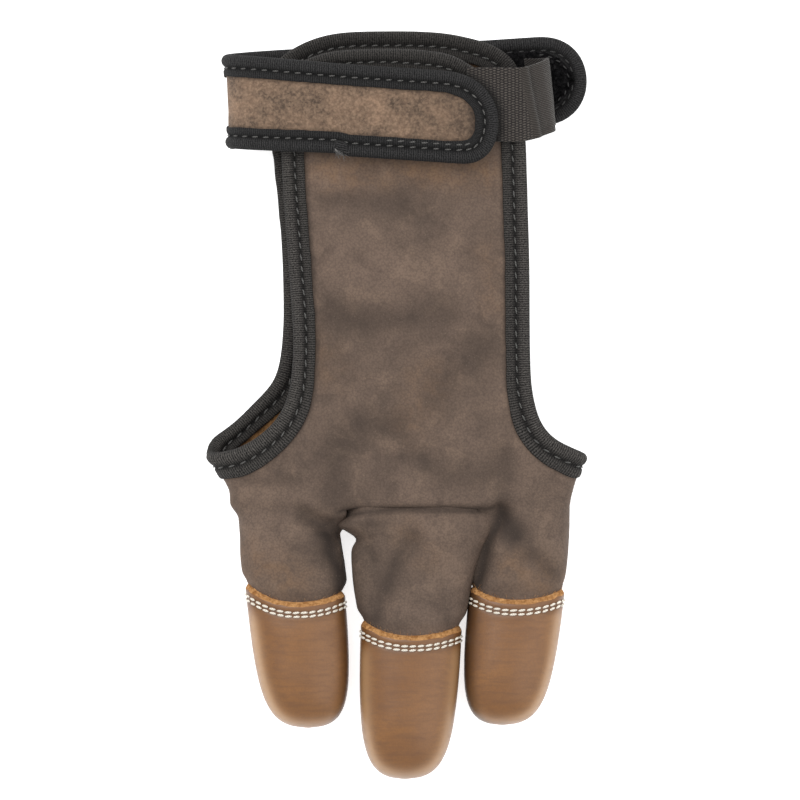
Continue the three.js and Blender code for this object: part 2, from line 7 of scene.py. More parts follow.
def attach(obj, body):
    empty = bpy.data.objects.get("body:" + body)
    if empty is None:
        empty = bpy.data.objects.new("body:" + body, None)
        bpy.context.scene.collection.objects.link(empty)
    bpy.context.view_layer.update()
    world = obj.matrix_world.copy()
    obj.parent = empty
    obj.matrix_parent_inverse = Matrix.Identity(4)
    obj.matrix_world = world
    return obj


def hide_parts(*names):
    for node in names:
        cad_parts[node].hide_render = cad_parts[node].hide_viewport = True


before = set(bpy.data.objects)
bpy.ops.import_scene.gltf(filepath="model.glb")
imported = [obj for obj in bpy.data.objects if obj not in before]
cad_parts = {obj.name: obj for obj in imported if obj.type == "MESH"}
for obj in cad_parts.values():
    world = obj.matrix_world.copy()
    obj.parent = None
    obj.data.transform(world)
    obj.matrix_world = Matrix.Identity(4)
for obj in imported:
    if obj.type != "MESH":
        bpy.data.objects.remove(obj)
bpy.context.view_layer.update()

# Shapes are worked out in millimetres with Y = 0 at the finger roots, then moved into the frame
millimetre = 0.001
frameShift = Vector((0.65, -31.07, 0.0))


# Small helpers
def mix(a, b, t):
    return a + (b - a) * t


def clamp(value, low=0.0, high=1.0):
    return max(low, min(high, value))


def ease(value, start, end):
    t = clamp((value - start) / (end - start))
    return t * t * (3 - 2 * t)


def power(value, exponent):
    return math.copysign(abs(value) ** exponent, value)


def readRows(rows, column, value):
    # smooth curve through one column of a table whose first column is the position
    last = len(rows) - 1
    if value <= rows[0][0]:
        return rows[0][column]
    if value >= rows[last][0]:
        return rows[last][column]
    i = next(k for k in range(1, last + 1) if value <= rows[k][0]) - 1

    def slope(k):
        a, b = rows[max(k - 1, 0)], rows[min(k + 1, last)]
        return (b[column] - a[column]) / (b[0] - a[0])

    span = rows[i + 1][0] - rows[i][0]
    t = (value - rows[i][0]) / span
    start, end = rows[i][column], rows[i + 1][column]
    cubic = (start * (1 + 2 * t) * (1 - t) ** 2 + end * t * t * (3 - 2 * t)
             + span * (slope(i) * t * (1 - t) ** 2 - slope(i + 1) * t * t * (1 - t)))
    return clamp(cubic, min(start, end), max(start, end))


def ovalPoint(oval, angle, offset=0.0):
    c, s = math.cos(angle), math.sin(angle)
    exponent = oval["roundTop"] if s >= 0 else oval["roundLow"]
    halfWidth = oval["right"] if c >= 0 else oval["left"]
    halfHeight = oval["top"] - oval["fold"] if s >= 0 else oval["fold"] - oval["low"]
    x = halfWidth * power(c, 2 / exponent)
    z = halfHeight * power(s, 2 / exponent)
    nx = power(x / halfWidth, exponent - 1) / halfWidth
    nz = power(z / halfHeight, exponent - 1) / halfHeight
    size = math.hypot(nx, nz) or 1.0
    return Vector((oval["x"] + x + nx / size * offset, oval["y"], oval["fold"] + z + nz / size * offset))


def foldedSheet(columns, rows, place, uvSize=(1.0, 1.0), merge=True, mark=None):
    # a grid whose every point is placed by its two shares, rolled up or closed where its edges meet
    bm = bmesh.new()
    uvLayer = bm.loops.layers.uv.new("UVMap")
    bmesh.ops.create_grid(bm, x_segments=columns, y_segments=rows, size=1.0, calc_uvs=True)
    for face in bm.faces:
        for loop in face.loops:
            loop[uvLayer].uv = (loop[uvLayer].uv.x * uvSize[0], loop[uvLayer].uv.y * uvSize[1])
    if mark:
        shade = bm.verts.layers.float.new("shade")
        for vert in bm.verts:
            vert[shade] = mark((vert.co.x + 1) / 2, (vert.co.y + 1) / 2)
    for vert in bm.verts:
        vert.co = place((vert.co.x + 1) / 2, (vert.co.y + 1) / 2)
    if merge:
        bmesh.ops.remove_doubles(bm, verts=bm.verts, dist=0.0005)
    return bm


def finishPiece(bm, name, materials, replaced=(), smooth=True, outwards=True):
    if outwards:
        bmesh.ops.recalc_face_normals(bm, faces=bm.faces)
    for vert in bm.verts:
        vert.co = (vert.co + frameShift) * millimetre
    for face in bm.faces:
        face.smooth = smooth
    mesh = bpy.data.meshes.new(name)
    bm.to_mesh(mesh)
    bm.free()
    for material in materials:
        mesh.materials.append(material)
    piece = bpy.data.objects.new(name, mesh)
    bpy.context.collection.objects.link(piece)
    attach(piece, "root")
    if replaced:
        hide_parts(*replaced)
    return piece


def thicken(piece, thickness, offset, innerMaterial=0, rimMaterial=0):
    wall = piece.modifiers.new("wall", "SOLIDIFY")
    wall.thickness = thickness * millimetre
    wall.offset = offset
    wall.use_even_offset = False
    wall.material_offset = innerMaterial
    wall.material_offset_rim = rimMaterial
    return wall


# Shader node groups
def nodeGroup(name, inputs, outputs):
    group = bpy.data.node_groups.new(name, "ShaderNodeTree")
    for label, kind, value in inputs:
        socket = group.interface.new_socket(label, in_out="INPUT", socket_type=kind)
        if value is not None:
            socket.default_value = value
    for label, kind in outputs:
        group.interface.new_socket(label, in_out="OUTPUT", socket_type=kind)
    return group, group.nodes.new("NodeGroupInput"), group.nodes.new("NodeGroupOutput")


def wire(tree, kind, inputs=None, **settings):
    # one node with its settings, its values and what is linked into it
    node = tree.nodes.new(kind)
    for key, value in settings.items():
        setattr(node, key, value)
    for key, value in (inputs or {}).items():
        if isinstance(value, bpy.types.NodeSocket):
            tree.links.new(value, node.inputs[key])
        else:
            node.inputs[key].default_value = value
    return node


def maths(tree, operation, a, b=0.0, c=0.0):
    return wire(tree, "ShaderNodeMath", {0: a, 1: b, 2: c}, operation=operation).outputs[0]


def ramp(tree, value, low, high, start=0.0, end=1.0):
    return wire(tree, "ShaderNodeMapRange",
                {"Value": value, "From Min": low, "From Max": high, "To Min": start, "To Max": end},
                interpolation_type="SMOOTHSTEP").outputs[0]


def blendColour(tree, share, a, b, mode="MIX"):
    node = wire(tree, "ShaderNodeMix", data_type="RGBA", blend_type=mode)
    for index, value in ((0, share), (6, a), (7, b)):
        if isinstance(value, bpy.types.NodeSocket):
            tree.links.new(value, node.inputs[index])
        else:
            node.inputs[index].default_value = value
    return node.outputs[2]


def colour(red, green, blue):
    # from the 0 to 255 that a picture shows to linear
    def linear(v):
        v = v / 255
        return v / 12.92 if v <= 0.04045 else ((v + 0.055) / 1.055) ** 2.4
    return (linear(red), linear(green), linear(blue), 1.0)


def makeGrainGroup():
    group, given, results = nodeGroup("leatherGrain", [
        ("Vector", "NodeSocketVector", None), ("Cell Size", "NodeSocketFloat", 1.2),
        ("Fineness", "NodeSocketFloat", 1.0)],
        [("Height", "NodeSocketFloat"), ("Pores", "NodeSocketFloat")])
    scale = maths(group, "DIVIDE", 1000.0, given.outputs["Cell Size"])
    cells = wire(group, "ShaderNodeTexVoronoi", {
        "Vector": given.outputs["Vector"], "Scale": scale}, feature="F1")
    fineScale = maths(group, "MULTIPLY", maths(group, "MULTIPLY", scale, 2.3), given.outputs["Fineness"])
    fine = wire(group, "ShaderNodeTexNoise", {
        "Vector": given.outputs["Vector"], "Scale": fineScale, "Detail": 4.0, "Roughness": 0.6})
    height = maths(group, "ADD", maths(group, "MULTIPLY", cells.outputs["Distance"], -0.5), fine.outputs[0])
    group.links.new(height, results.inputs["Height"])
    group.links.new(ramp(group, cells.outputs["Distance"], 0.35, 0.75), results.inputs["Pores"])
    return group


def makeMottleGroup():
    group, given, results = nodeGroup("softMottle", [
        ("Vector", "NodeSocketVector", None), ("Patch Size", "NodeSocketFloat", 20.0),
        ("Dark", "NodeSocketColor", None), ("Light", "NodeSocketColor", None),
        ("Contrast", "NodeSocketFloat", 1.0)],
        [("Color", "NodeSocketColor"), ("Share", "NodeSocketFloat")])
    scale = maths(group, "DIVIDE", 1000.0, given.outputs["Patch Size"])
    broad = wire(group, "ShaderNodeTexNoise", {
        "Vector": given.outputs["Vector"], "Scale": scale, "Detail": 7.0, "Roughness": 0.62,
        "Distortion": 0.4})
    centred = maths(group, "SUBTRACT", broad.outputs[0], 0.5)
    share = maths(group, "ADD", maths(group, "MULTIPLY", centred, maths(
        group, "MULTIPLY", given.outputs["Contrast"], 2.6)), 0.5)
    share = wire(group, "ShaderNodeClamp", {"Value": share}).outputs[0]
    mottled = blendColour(group, share, given.outputs["Dark"], given.outputs["Light"])
    group.links.new(mottled, results.inputs["Color"])
    group.links.new(share, results.inputs["Share"])
    return group


def makeRibGroup():
    # ribs across a tape: the map runs in millimetres along and across it
    group, given, results = nodeGroup("tapeRibs", [
        ("Vector", "NodeSocketVector", None), ("Pitch", "NodeSocketFloat", 0.8),
        ("Cross Pitch", "NodeSocketFloat", 0.9)],
        [("Height", "NodeSocketFloat"), ("Fleck", "NodeSocketFloat")])
    parts = wire(group, "ShaderNodeSeparateXYZ", {0: given.outputs["Vector"]})
    wobble = wire(group, "ShaderNodeTexNoise", {
        "Vector": given.outputs["Vector"], "Scale": 1.4, "Detail": 3.0, "Roughness": 0.6})
    turn = maths(group, "DIVIDE", maths(group, "ADD", parts.outputs["X"], maths(
        group, "MULTIPLY", wobble.outputs[0], 0.9)), given.outputs["Pitch"])
    ribs = maths(group, "SINE", maths(group, "MULTIPLY", turn, 2 * math.pi))
    across = maths(group, "DIVIDE", parts.outputs["Y"], given.outputs["Cross Pitch"])
    cross = maths(group, "SINE", maths(group, "ADD", maths(group, "MULTIPLY", across, 2 * math.pi), maths(
        group, "MULTIPLY", ribs, 0.9)))
    fuzz = wire(group, "ShaderNodeTexNoise", {
        "Vector": given.outputs["Vector"], "Scale": 1.9, "Detail": 6.0, "Roughness": 0.85})
    height = maths(group, "ADD", maths(group, "MULTIPLY", ribs, 0.2), maths(
        group, "ADD", maths(group, "MULTIPLY", cross, 0.04), maths(group, "MULTIPLY", fuzz.outputs[0], 1.3)))
    group.links.new(height, results.inputs["Height"])
    lit = maths(group, "ADD", maths(group, "MULTIPLY", ribs, 0.11), maths(group, "MULTIPLY", cross, 0.02))
    fleck = ramp(group, maths(group, "ADD", lit, fuzz.outputs[0]), 0.31, 0.78)
    group.links.new(fleck, results.inputs["Fleck"])
    return group


grainGroup = makeGrainGroup()
mottleGroup = makeMottleGroup()
ribGroup = makeRibGroup()


def newMaterial(name, roughness=0.7, **values):
    material = bpy.data.materials.new(name)
    material.use_nodes = True
    tree = material.node_tree
    shader = tree.nodes["Principled BSDF"]
    shader.inputs["Roughness"].default_value = roughness
    for key, value in values.items():
        shader.inputs[key.replace("_", " ")].default_value = value
    return material, tree, shader


def placeGroup(tree, group, **inputs):
    node = tree.nodes.new("ShaderNodeGroup")
    node.node_tree = group
    for key, value in inputs.items():
        socket = node.inputs[key.replace("_", " ")]
        if isinstance(value, bpy.types.NodeSocket):
            tree.links.new(value, socket)
        else:
            socket.default_value = value
    return node


def addBump(tree, shader, height, strength, distance):
    bump = wire(tree, "ShaderNodeBump", {
        "Height": height, "Strength": strength, "Distance": distance * millimetre})
    tree.links.new(bump.outputs[0], shader.inputs["Normal"])
    return bump


def makeBodyLeather():
    material, tree, shader = newMaterial("brushedLeather", 0.84, Specular_IOR_Level=0.3)
    place = wire(tree, "ShaderNodeTexCoord").outputs["Object"]
    base = placeGroup(tree, mottleGroup, Vector=place, Patch_Size=24.0, Dark=colour(82, 69, 60),
                      Light=colour(107, 90, 79), Contrast=1.0)
    rub = placeGroup(tree, mottleGroup, Vector=place, Patch_Size=5.0, Dark=(0, 0, 0, 1), Light=(1, 1, 1, 1),
                     Contrast=0.9)
    nap = placeGroup(tree, grainGroup, Vector=place, Cell_Size=0.62, Fineness=1.0)
    wearAndHighlight = blendColour(tree, maths(tree, "MULTIPLY", rub.outputs["Share"], 0.3), base.outputs["Color"],
                       colour(116, 97, 83))
    patches = placeGroup(tree, mottleGroup, Vector=place, Patch_Size=9.0, Dark=(0, 0, 0, 1),
                         Light=(1, 1, 1, 1), Contrast=1.3).outputs["Share"]
    wearAndHighlight = blendColour(tree, ramp(tree, patches, 0.55, 1.0, 0.0, 0.42), wearAndHighlight, colour(126, 106, 91))
    wearAndHighlight = blendColour(tree, ramp(tree, patches, 0.0, 0.42, 0.34, 0.0), wearAndHighlight, colour(66, 55, 49))
    # tan tint and painted highlight from the vertex attribute, broken up by the rub pattern
    tintAndHighlight = wire(tree, "ShaderNodeAttribute", attribute_name="tintAndHighlight").outputs["Fac"]
    patchy = maths(tree, "MULTIPLY", tintAndHighlight, ramp(tree, rub.outputs["Share"], 0.2, 0.9, 0.25, 0.9))
    brown = blendColour(tree, patchy, wearAndHighlight, colour(126, 98, 74))
    shade = wire(tree, "ShaderNodeAttribute", attribute_name="shade").outputs["Fac"]
    shaded = blendColour(tree, maths(tree, "MULTIPLY", shade, 0.84), brown, colour(33, 27, 24))
    speck = maths(tree, "MULTIPLY", nap.outputs["Pores"], 0.26)
    pored = blendColour(tree, speck, shaded, colour(52, 43, 38))
    tips = wire(tree, "ShaderNodeTexNoise", {
        "Vector": place, "Scale": 2300.0, "Detail": 3.0, "Roughness": 0.7})
    tipShare = ramp(tree, tips.outputs[0], 0.58, 0.78, 0.0, 0.34)
    tree.links.new(blendColour(tree, tipShare, pored, colour(150, 130, 112)), shader.inputs["Base Color"])
    addBump(tree, shader, nap.outputs["Height"], 0.5, 0.3)
    return material


def makeFleshSide():
    material, tree, shader = newMaterial("fleshSide", 0.95, Specular_IOR_Level=0.15)
    place = wire(tree, "ShaderNodeTexCoord").outputs["Object"]
    base = placeGroup(tree, mottleGroup, Vector=place, Patch_Size=2.2, Dark=colour(74, 52, 34),
                      Light=colour(146, 108, 70), Contrast=1.5)
    # little light gets in under the wrist's arches
    parts = wire(tree, "ShaderNodeSeparateXYZ", {0: place})
    hidden = ramp(tree, parts.outputs["Y"], 0.073, 0.084, 0.0, 0.85)
    tree.links.new(blendColour(tree, hidden, base.outputs["Color"], colour(34, 28, 24)),
                   shader.inputs["Base Color"])
    nap = placeGroup(tree, grainGroup, Vector=place, Cell_Size=0.7, Fineness=1.6)
    addBump(tree, shader, nap.outputs["Height"], 0.9, 0.5)
    return material


def makeStallLeather():
    material, tree, shader = newMaterial("stallLeather", 0.42, Specular_IOR_Level=0.5, Coat_Weight=0.2,
                                         Coat_Roughness=0.35)
    place = wire(tree, "ShaderNodeTexCoord").outputs["Object"]
    base = placeGroup(tree, mottleGroup, Vector=place, Patch_Size=14.0, Dark=colour(112, 72, 34),
                      Light=colour(134, 90, 45), Contrast=0.8)
    streak = wire(tree, "ShaderNodeMapping", {"Vector": place, "Scale": (0.16, 1.5, 1.0)}).outputs[0]
    lines = wire(tree, "ShaderNodeTexNoise", {
        "Vector": streak, "Scale": 520.0, "Detail": 6.0, "Roughness": 0.62, "Distortion": 0.3})
    streaked = blendColour(tree, ramp(tree, lines.outputs[0], 0.4, 0.72, 0.0, 0.5), base.outputs["Color"],
                           colour(98, 64, 36))
    pores = placeGroup(tree, grainGroup, Vector=place, Cell_Size=0.6, Fineness=1.4)
    speck = maths(tree, "MULTIPLY", pores.outputs["Pores"], 0.16)
    pored = blendColour(tree, speck, streaked, colour(90, 58, 38))
    shade = wire(tree, "ShaderNodeAttribute", attribute_name="shade").outputs["Fac"]
    shaded = blendColour(tree, shade, pored, colour(44, 29, 20))
    # painted highlight on the stall's turn down to the sides and the tip
    wearAndHighlight = wire(tree, "ShaderNodeAttribute", attribute_name="tintAndHighlight").outputs["Fac"]
    tree.links.new(blendColour(tree, wearAndHighlight, shaded, colour(196, 158, 118)), shader.inputs["Base Color"])
    height = maths(tree, "ADD", maths(tree, "MULTIPLY", pores.outputs["Height"], 0.4), lines.outputs[0])
    addBump(tree, shader, height, 0.2, 0.22)
    tree.links.new(ramp(tree, lines.outputs[0], 0.3, 0.8, 0.34, 0.52), shader.inputs["Roughness"])
    return material


def makeRawEdge():
    material, tree, shader = newMaterial("rawLeatherEdge", 0.92, Specular_IOR_Level=0.15)
    place = wire(tree, "ShaderNodeTexCoord").outputs["Object"]
    base = placeGroup(tree, mottleGroup, Vector=place, Patch_Size=1.1, Dark=colour(156, 104, 58),
                      Light=colour(222, 168, 110), Contrast=1.2)
    tree.links.new(base.outputs["Color"], shader.inputs["Base Color"])
    nap = placeGroup(tree, grainGroup, Vector=place, Cell_Size=0.5, Fineness=1.6)
    addBump(tree, shader, nap.outputs["Height"], 1.0, 0.5)
    return material


def makeStrapLeather():
    material, tree, shader = newMaterial("strapLeather", 0.8, Specular_IOR_Level=0.35)
    place = wire(tree, "ShaderNodeTexCoord").outputs["Object"]
    base = placeGroup(tree, mottleGroup, Vector=place, Patch_Size=9.0, Dark=colour(66, 54, 45),
                      Light=colour(131, 106, 86), Contrast=1.2)
    fine = placeGroup(tree, mottleGroup, Vector=place, Patch_Size=1.0, Dark=(0, 0, 0, 1), Light=(1, 1, 1, 1),
                      Contrast=1.7)
    flecked = blendColour(tree, maths(tree, "MULTIPLY", fine.outputs["Share"], 0.42), base.outputs["Color"],
                          colour(170, 142, 117))
    shade = wire(tree, "ShaderNodeAttribute", attribute_name="shade").outputs["Fac"]
    flecked = blendColour(tree, maths(tree, "MULTIPLY", shade, 0.6), flecked, colour(44, 36, 31))
    nap = placeGroup(tree, grainGroup, Vector=place, Cell_Size=0.7, Fineness=1.2)
    speck = maths(tree, "MULTIPLY", nap.outputs["Pores"], 0.3)
    tree.links.new(blendColour(tree, speck, flecked, colour(60, 49, 41)), shader.inputs["Base Color"])
    addBump(tree, shader, nap.outputs["Height"], 0.8, 0.4)
    return material


def makeTape(name, dark, light):
    material, tree, shader = newMaterial(name, 0.9, Specular_IOR_Level=0.25)
    run = wire(tree, "ShaderNodeUVMap", uv_map="UVMap").outputs[0]
    ribs = placeGroup(tree, ribGroup, Vector=run, Pitch=0.66, Cross_Pitch=0.95)
    cloth = blendColour(tree, ribs.outputs["Fleck"], dark, light)
    shade = wire(tree, "ShaderNodeAttribute", attribute_name="shade").outputs["Fac"]
    tree.links.new(blendColour(tree, maths(tree, "MULTIPLY", shade, 0.86), cloth, colour(8, 8, 8)),
                   shader.inputs["Base Color"])
    addBump(tree, shader, ribs.outputs["Height"], 0.9, 0.32)
    return material


def makeThread(name, base, shade, roughness=0.6):
    material, tree, shader = newMaterial(name, roughness, Specular_IOR_Level=0.4)
    place = wire(tree, "ShaderNodeTexCoord").outputs["Object"]
    twist = wire(tree, "ShaderNodeTexWave", {
        "Vector": place, "Scale": 900.0, "Distortion": 1.5, "Detail": 1.0}, bands_direction="DIAGONAL")
    tree.links.new(blendColour(tree, twist.outputs["Fac"], shade, base), shader.inputs["Base Color"])
    addBump(tree, shader, twist.outputs["Fac"], 0.5, 0.1)
    return material


def makeElastic():
    material, tree, shader = newMaterial("elasticWeave", 0.88, Specular_IOR_Level=0.25, Sheen_Weight=0.1)
    run = wire(tree, "ShaderNodeUVMap", uv_map="UVMap").outputs[0]
    parts = wire(tree, "ShaderNodeSeparateXYZ", {0: run})
    wobble = wire(tree, "ShaderNodeTexNoise", {"Vector": run, "Scale": 1.1, "Detail": 3.0, "Roughness": 0.6})
    along = maths(tree, "ADD", parts.outputs["X"], maths(tree, "MULTIPLY", wobble.outputs[0], 0.5))
    across = maths(tree, "ADD", parts.outputs["Y"], maths(tree, "MULTIPLY", wobble.outputs[0], 0.4))
    # columns of knots, each set half a knot from the next
    columnPitch, knotPitch, twillPitch = 1.08, 0.74, 0.66
    columns = maths(tree, "COSINE", maths(tree, "MULTIPLY", along, 2 * math.pi / columnPitch))
    turn = maths(tree, "SINE", maths(tree, "MULTIPLY", along, math.pi / columnPitch))
    rows = maths(tree, "SINE", maths(tree, "MULTIPLY", across, 2 * math.pi / knotPitch))
    knots = maths(tree, "MULTIPLY", turn, rows)
    fuzz = wire(tree, "ShaderNodeTexNoise", {"Vector": run, "Scale": 2.4, "Detail": 5.0, "Roughness": 0.75})
    slant = maths(tree, "ADD", parts.outputs["Y"], maths(tree, "MULTIPLY", parts.outputs["X"], 0.6))
    twill = maths(tree, "ADD", maths(tree, "SINE", maths(
        tree, "MULTIPLY", slant, 2 * math.pi / twillPitch)), maths(tree, "MULTIPLY", wobble.outputs[0], 1.2))
    # past the crease the weave is the finer one of the fold
    slope = maths(tree, "ADD", parts.outputs["X"], maths(tree, "MULTIPLY", parts.outputs["Y"], 0.2))
    fineShare = ramp(tree, slope, 18.4, 20.4)
    coarse = maths(tree, "SUBTRACT", maths(tree, "MULTIPLY", knots, 0.8), maths(
        tree, "MULTIPLY", columns, 0.3))
    coarse = maths(tree, "ADD", coarse, maths(tree, "MULTIPLY", maths(
        tree, "SUBTRACT", fuzz.outputs[0], 0.5), 2.4))
    coarsePart = maths(tree, "MULTIPLY", coarse, maths(tree, "SUBTRACT", 1.0, fineShare))
    finePart = maths(tree, "MULTIPLY", maths(tree, "MULTIPLY", twill, 0.45), fineShare)
    pattern = maths(tree, "ADD", coarsePart, finePart)
    light = ramp(tree, pattern, -0.5, 0.9)
    cloth = blendColour(tree, light, colour(34, 30, 28), colour(92, 85, 79))
    quiet = blendColour(tree, maths(tree, "MULTIPLY", fineShare, 0.6), cloth, colour(44, 41, 38))
    shade = wire(tree, "ShaderNodeAttribute", attribute_name="shade").outputs["Fac"]
    tree.links.new(blendColour(tree, shade, quiet, colour(14, 13, 12)), shader.inputs["Base Color"])
    addBump(tree, shader, pattern, 0.8, 0.35)
    return material


def makePile():
    material, tree, shader = newMaterial("loopPile", 0.98, Specular_IOR_Level=0.12)
    place = wire(tree, "ShaderNodeTexCoord").outputs["Object"]
    base = placeGroup(tree, mottleGroup, Vector=place, Patch_Size=1.2, Dark=colour(5, 5, 6),
                      Light=colour(38, 37, 38), Contrast=1.8)
    tree.links.new(base.outputs["Color"], shader.inputs["Base Color"])
    addBump(tree, shader, base.outputs["Share"], 1.0, 0.6)
    return material


bodyLeather = makeBodyLeather()
fleshSide = makeFleshSide()
stallLeather = makeStallLeather()
rawEdge = makeRawEdge()
strapLeather = makeStrapLeather()
edgeTape = makeTape("edgeTape", colour(12, 11, 11), colour(98, 94, 90))
strapTape = makeTape("strapTape", colour(5, 5, 6), colour(66, 65, 65))
tapeThread = makeThread("tapeThread", colour(98, 97, 94), colour(54, 53, 52))
dimThread = makeThread("dimThread", colour(60, 59, 58), colour(36, 35, 35))
frayedThread = makeThread("frayedThread", colour(124, 122, 120), colour(70, 69, 68), 0.8)
whiteThread = makeThread("whiteThread", colour(240, 234, 222), colour(196, 186, 170), 0.5)
elasticWeave = makeElastic()
loopPile = makePile()
print("materials ready")


# Camera, light and floor
view = {"height": 2400.0, "across": 232.0, "middle": (0.65, 1.43)}
cameraData = bpy.data.cameras.new("photoCamera")
cameraData.sensor_width = 36
cameraData.lens = 36 * view["height"] / view["across"]
cameraData.clip_end = 10
camera = bpy.data.objects.new("photoCamera", cameraData)
camera.location = tuple(value * millimetre for value in (*view["middle"], view["height"]))
bpy.context.collection.objects.link(camera)
bpy.context.scene.camera = camera


def addLight(name, energy, size, place, target=(0, 0, 0.01)):
    data = bpy.data.lights.new(name, "AREA")
    data.energy = energy
    data.size = size
    lamp = bpy.data.objects.new(name, data)
    lamp.location = place
    lamp.rotation_euler = (Vector(target) - Vector(place)).to_track_quat("-Z", "Y").to_euler()
    bpy.context.collection.objects.link(lamp)


addLight("keyLight", 7.0, 0.9, (-0.35, 0.5, 0.85))
addLight("fillLight", 3.0, 1.0, (0.6, -0.15, 0.85))
world = bpy.data.worlds.new("studio")
world.use_nodes = True
world.node_tree.nodes["Background"].inputs["Color"].default_value = (1, 1, 1, 1)
world.node_tree.nodes["Background"].inputs["Strength"].default_value = 0.75
bpy.context.scene.world = world
bpy.context.scene.view_settings.view_transform = "Standard"

floorMaterial, _, floorShader = newMaterial("paleFloor", 0.9)
floorShader.inputs["Base Color"].default_value = (0.93, 0.93, 0.93, 1)
floorShader.inputs["Emission Color"].default_value = (1, 1, 1, 1)
floorShader.inputs["Emission Strength"].default_value = 0.7
floorMesh = bpy.data.meshes.new("floor")
floorBm = bmesh.new()
bmesh.ops.create_grid(floorBm, x_segments=1, y_segments=1, size=3.0)
for vert in floorBm.verts:
    vert.co.z = -0.0004
floorBm.to_mesh(floorMesh)
floorBm.free()
floorMesh.materials.append(floorMaterial)
floor = bpy.data.objects.new("floor", floorMesh)
bpy.context.collection.objects.link(floor)

# Hand: the same sections as the part's source
hand = {
    "halfWidth": 54.0, "height": 17.4, "foldHeight": 8.5, "frontLength": 132.3, "backLength": 138.1,
    "openingFoot": 15.6, "depthLeft": 22.6, "depthRight": 16.6, "backOut": 3.4, "leather": 1.2,
    "wristRise": 6.06, "rest": 0.6,
    # at, left, right, top, rise, low
    "sections": [
        (-0.011, 0.83, 0.83, 0.66, 0, 0.28), (0.002, 0.876, 0.875, 0.87, 0, 0.1),
        (0.018, 0.905, 0.9, 0.98, 0, 0), (0.045, 0.9, 0.917, 1.01, 0.03, 0),
        (0.078, 0.95, 0.941, 1.03, 0.11, 0),
        (0.113, 1.0, 0.967, 1.04, 0.175, 0), (0.15, 1.015, 0.972, 1.045, 0.175, 0),
        (0.3, 0.98, 0.945, 1.05, 0.175, 0), (0.48, 0.945, 0.905, 1.07, 0.2, 0),
        (0.61, 0.9, 0.86, 1.1, 0.42, 0), (0.69, 0.87, 0.835, 1.13, 0.82, 0),
        (0.745, 0.862, 0.83, 1.14, 1, 0), (1, 0.862, 0.83, 1.16, 1, 0)],
    # up, in
    "frontLeft": [(0, 0), (0.004, 0.18), (0.013, 0.35), (0.043, 0.62), (0.089, 0.87), (0.14, 1.01),
                  (0.19, 1.07), (0.29, 1.1), (0.45, 1.05), (0.7, 0.96), (0.9, 0.93)],
    "frontRight": [(0, 0), (0.012, 0.17), (0.036, 0.5), (0.072, 0.74), (0.12, 0.88), (0.2, 0.97), (0.5, 1),
                   (0.9, 1.09)],
    "backLeft": [(0, 0), (0.034, 0.02), (0.052, 0.18), (0.082, 0.42), (0.114, 0.62), (0.142, 0.8),
                 (0.172, 0.96), (0.206, 1.05), (0.26, 1.11), (0.36, 1.14), (0.56, 1.09), (0.73, 0.96),
                 (0.9, 0.93)],
    # x, y of the wrist edges
    "frontArch": [(-27.8, 128.5), (-21.5, 130.7), (-15.8, 131.5), (-7, 131.9), (0, 131.9), (5.5, 131.6),
                  (14.4, 130.2), (20.7, 126.6), (27, 122), (31, 117.5)],
    "backArch": [(-31.7, 131.8), (-27.3, 134.3), (-21.7, 136.3), (-16.2, 137.2), (-11, 137.5), (0, 137.6),
                 (5.5, 137.5), (12.8, 137), (19.1, 135.8), (25.4, 134), (29.9, 131.4), (32.6, 128.6)],
}


def handOval(y):
    def read(column):
        return readRows(hand["sections"], column, y / hand["backLength"])
    low = hand["rest"] + (hand["wristRise"] - hand["rest"]) * read(4)
    return {"x": 0.0, "y": y, "left": read(1) * hand["halfWidth"], "right": read(2) * hand["halfWidth"],
            "fold": hand["foldHeight"] + (low - hand["rest"]) * 0.45,
            "top": hand["height"] * read(3) + hand["rest"],
            "low": low + (hand["foldHeight"] - hand["rest"]) * read(5), "roundTop": 2.2, "roundLow": 3.2}


def angleNear(oval, near):
    dx, dz = near.x - oval["x"], near.z - oval["fold"]
    exponent = oval["roundTop"] if dz >= 0 else oval["roundLow"]
    halfWidth = oval["right"] if dx >= 0 else oval["left"]
    halfHeight = oval["top"] - oval["fold"] if dz >= 0 else oval["fold"] - oval["low"]
    return math.atan2(power(dz / halfHeight, exponent / 2), power(dx / halfWidth, exponent / 2))


def handPoint(near, offset):
    oval = handOval(near.y)
    return ovalPoint(oval, angleNear(oval, near), offset)


def handAt(x, y, side, offset=0.0):
    oval = handOval(y)
    exponent = oval["roundTop"] if side > 0 else oval["roundLow"]
    share = clamp((x - oval["x"]) / (oval["right"] if x >= oval["x"] else oval["left"]), -1, 1)
    angle = math.acos(power(share, exponent / 2))
    return ovalPoint(oval, angle if side > 0 else -angle, offset)


def sideEdge(rows, length, side, depth, top, steps=60):
    oval = handOval(hand["openingFoot"])
    foot = -oval["left"] if side < 0 else oval["right"]
    points = []
    for i in range(steps + 1):
        up = (i / steps) ** 1.7 * top
        y = hand["openingFoot"] + up * (length - hand["openingFoot"])
        points.append(Vector((foot - side * depth * readRows(rows, 1, up), y)))
    return points


def bend(a, b, c, count=14):
    shares = [k / count for k in range(1, count + 1)]
    return [a * (1 - t) ** 2 + b * 2 * t * (1 - t) + c * t * t for t in shares]


def panelOutline(rowsLeft, rowsRight, length, depthLeft, depthRight, arch, topRight):
    points = sideEdge(rowsLeft, length, -1, depthLeft, 0.9)
    right = sideEdge(rowsRight, length, 1, depthRight, topRight)
    start, end = arch[0], arch[-1]
    points += bend(points[-1], Vector((points[-1].x, start[1] - 3)), Vector(start))
    for i in range(1, 51):
        x = mix(start[0], end[0], i / 50)
        points.append(Vector((x, readRows(arch, 1, x))))
    points += bend(points[-1], Vector((right[-1].x, end[1] - 3)), right[-1])
    return points + right[::-1][1:]


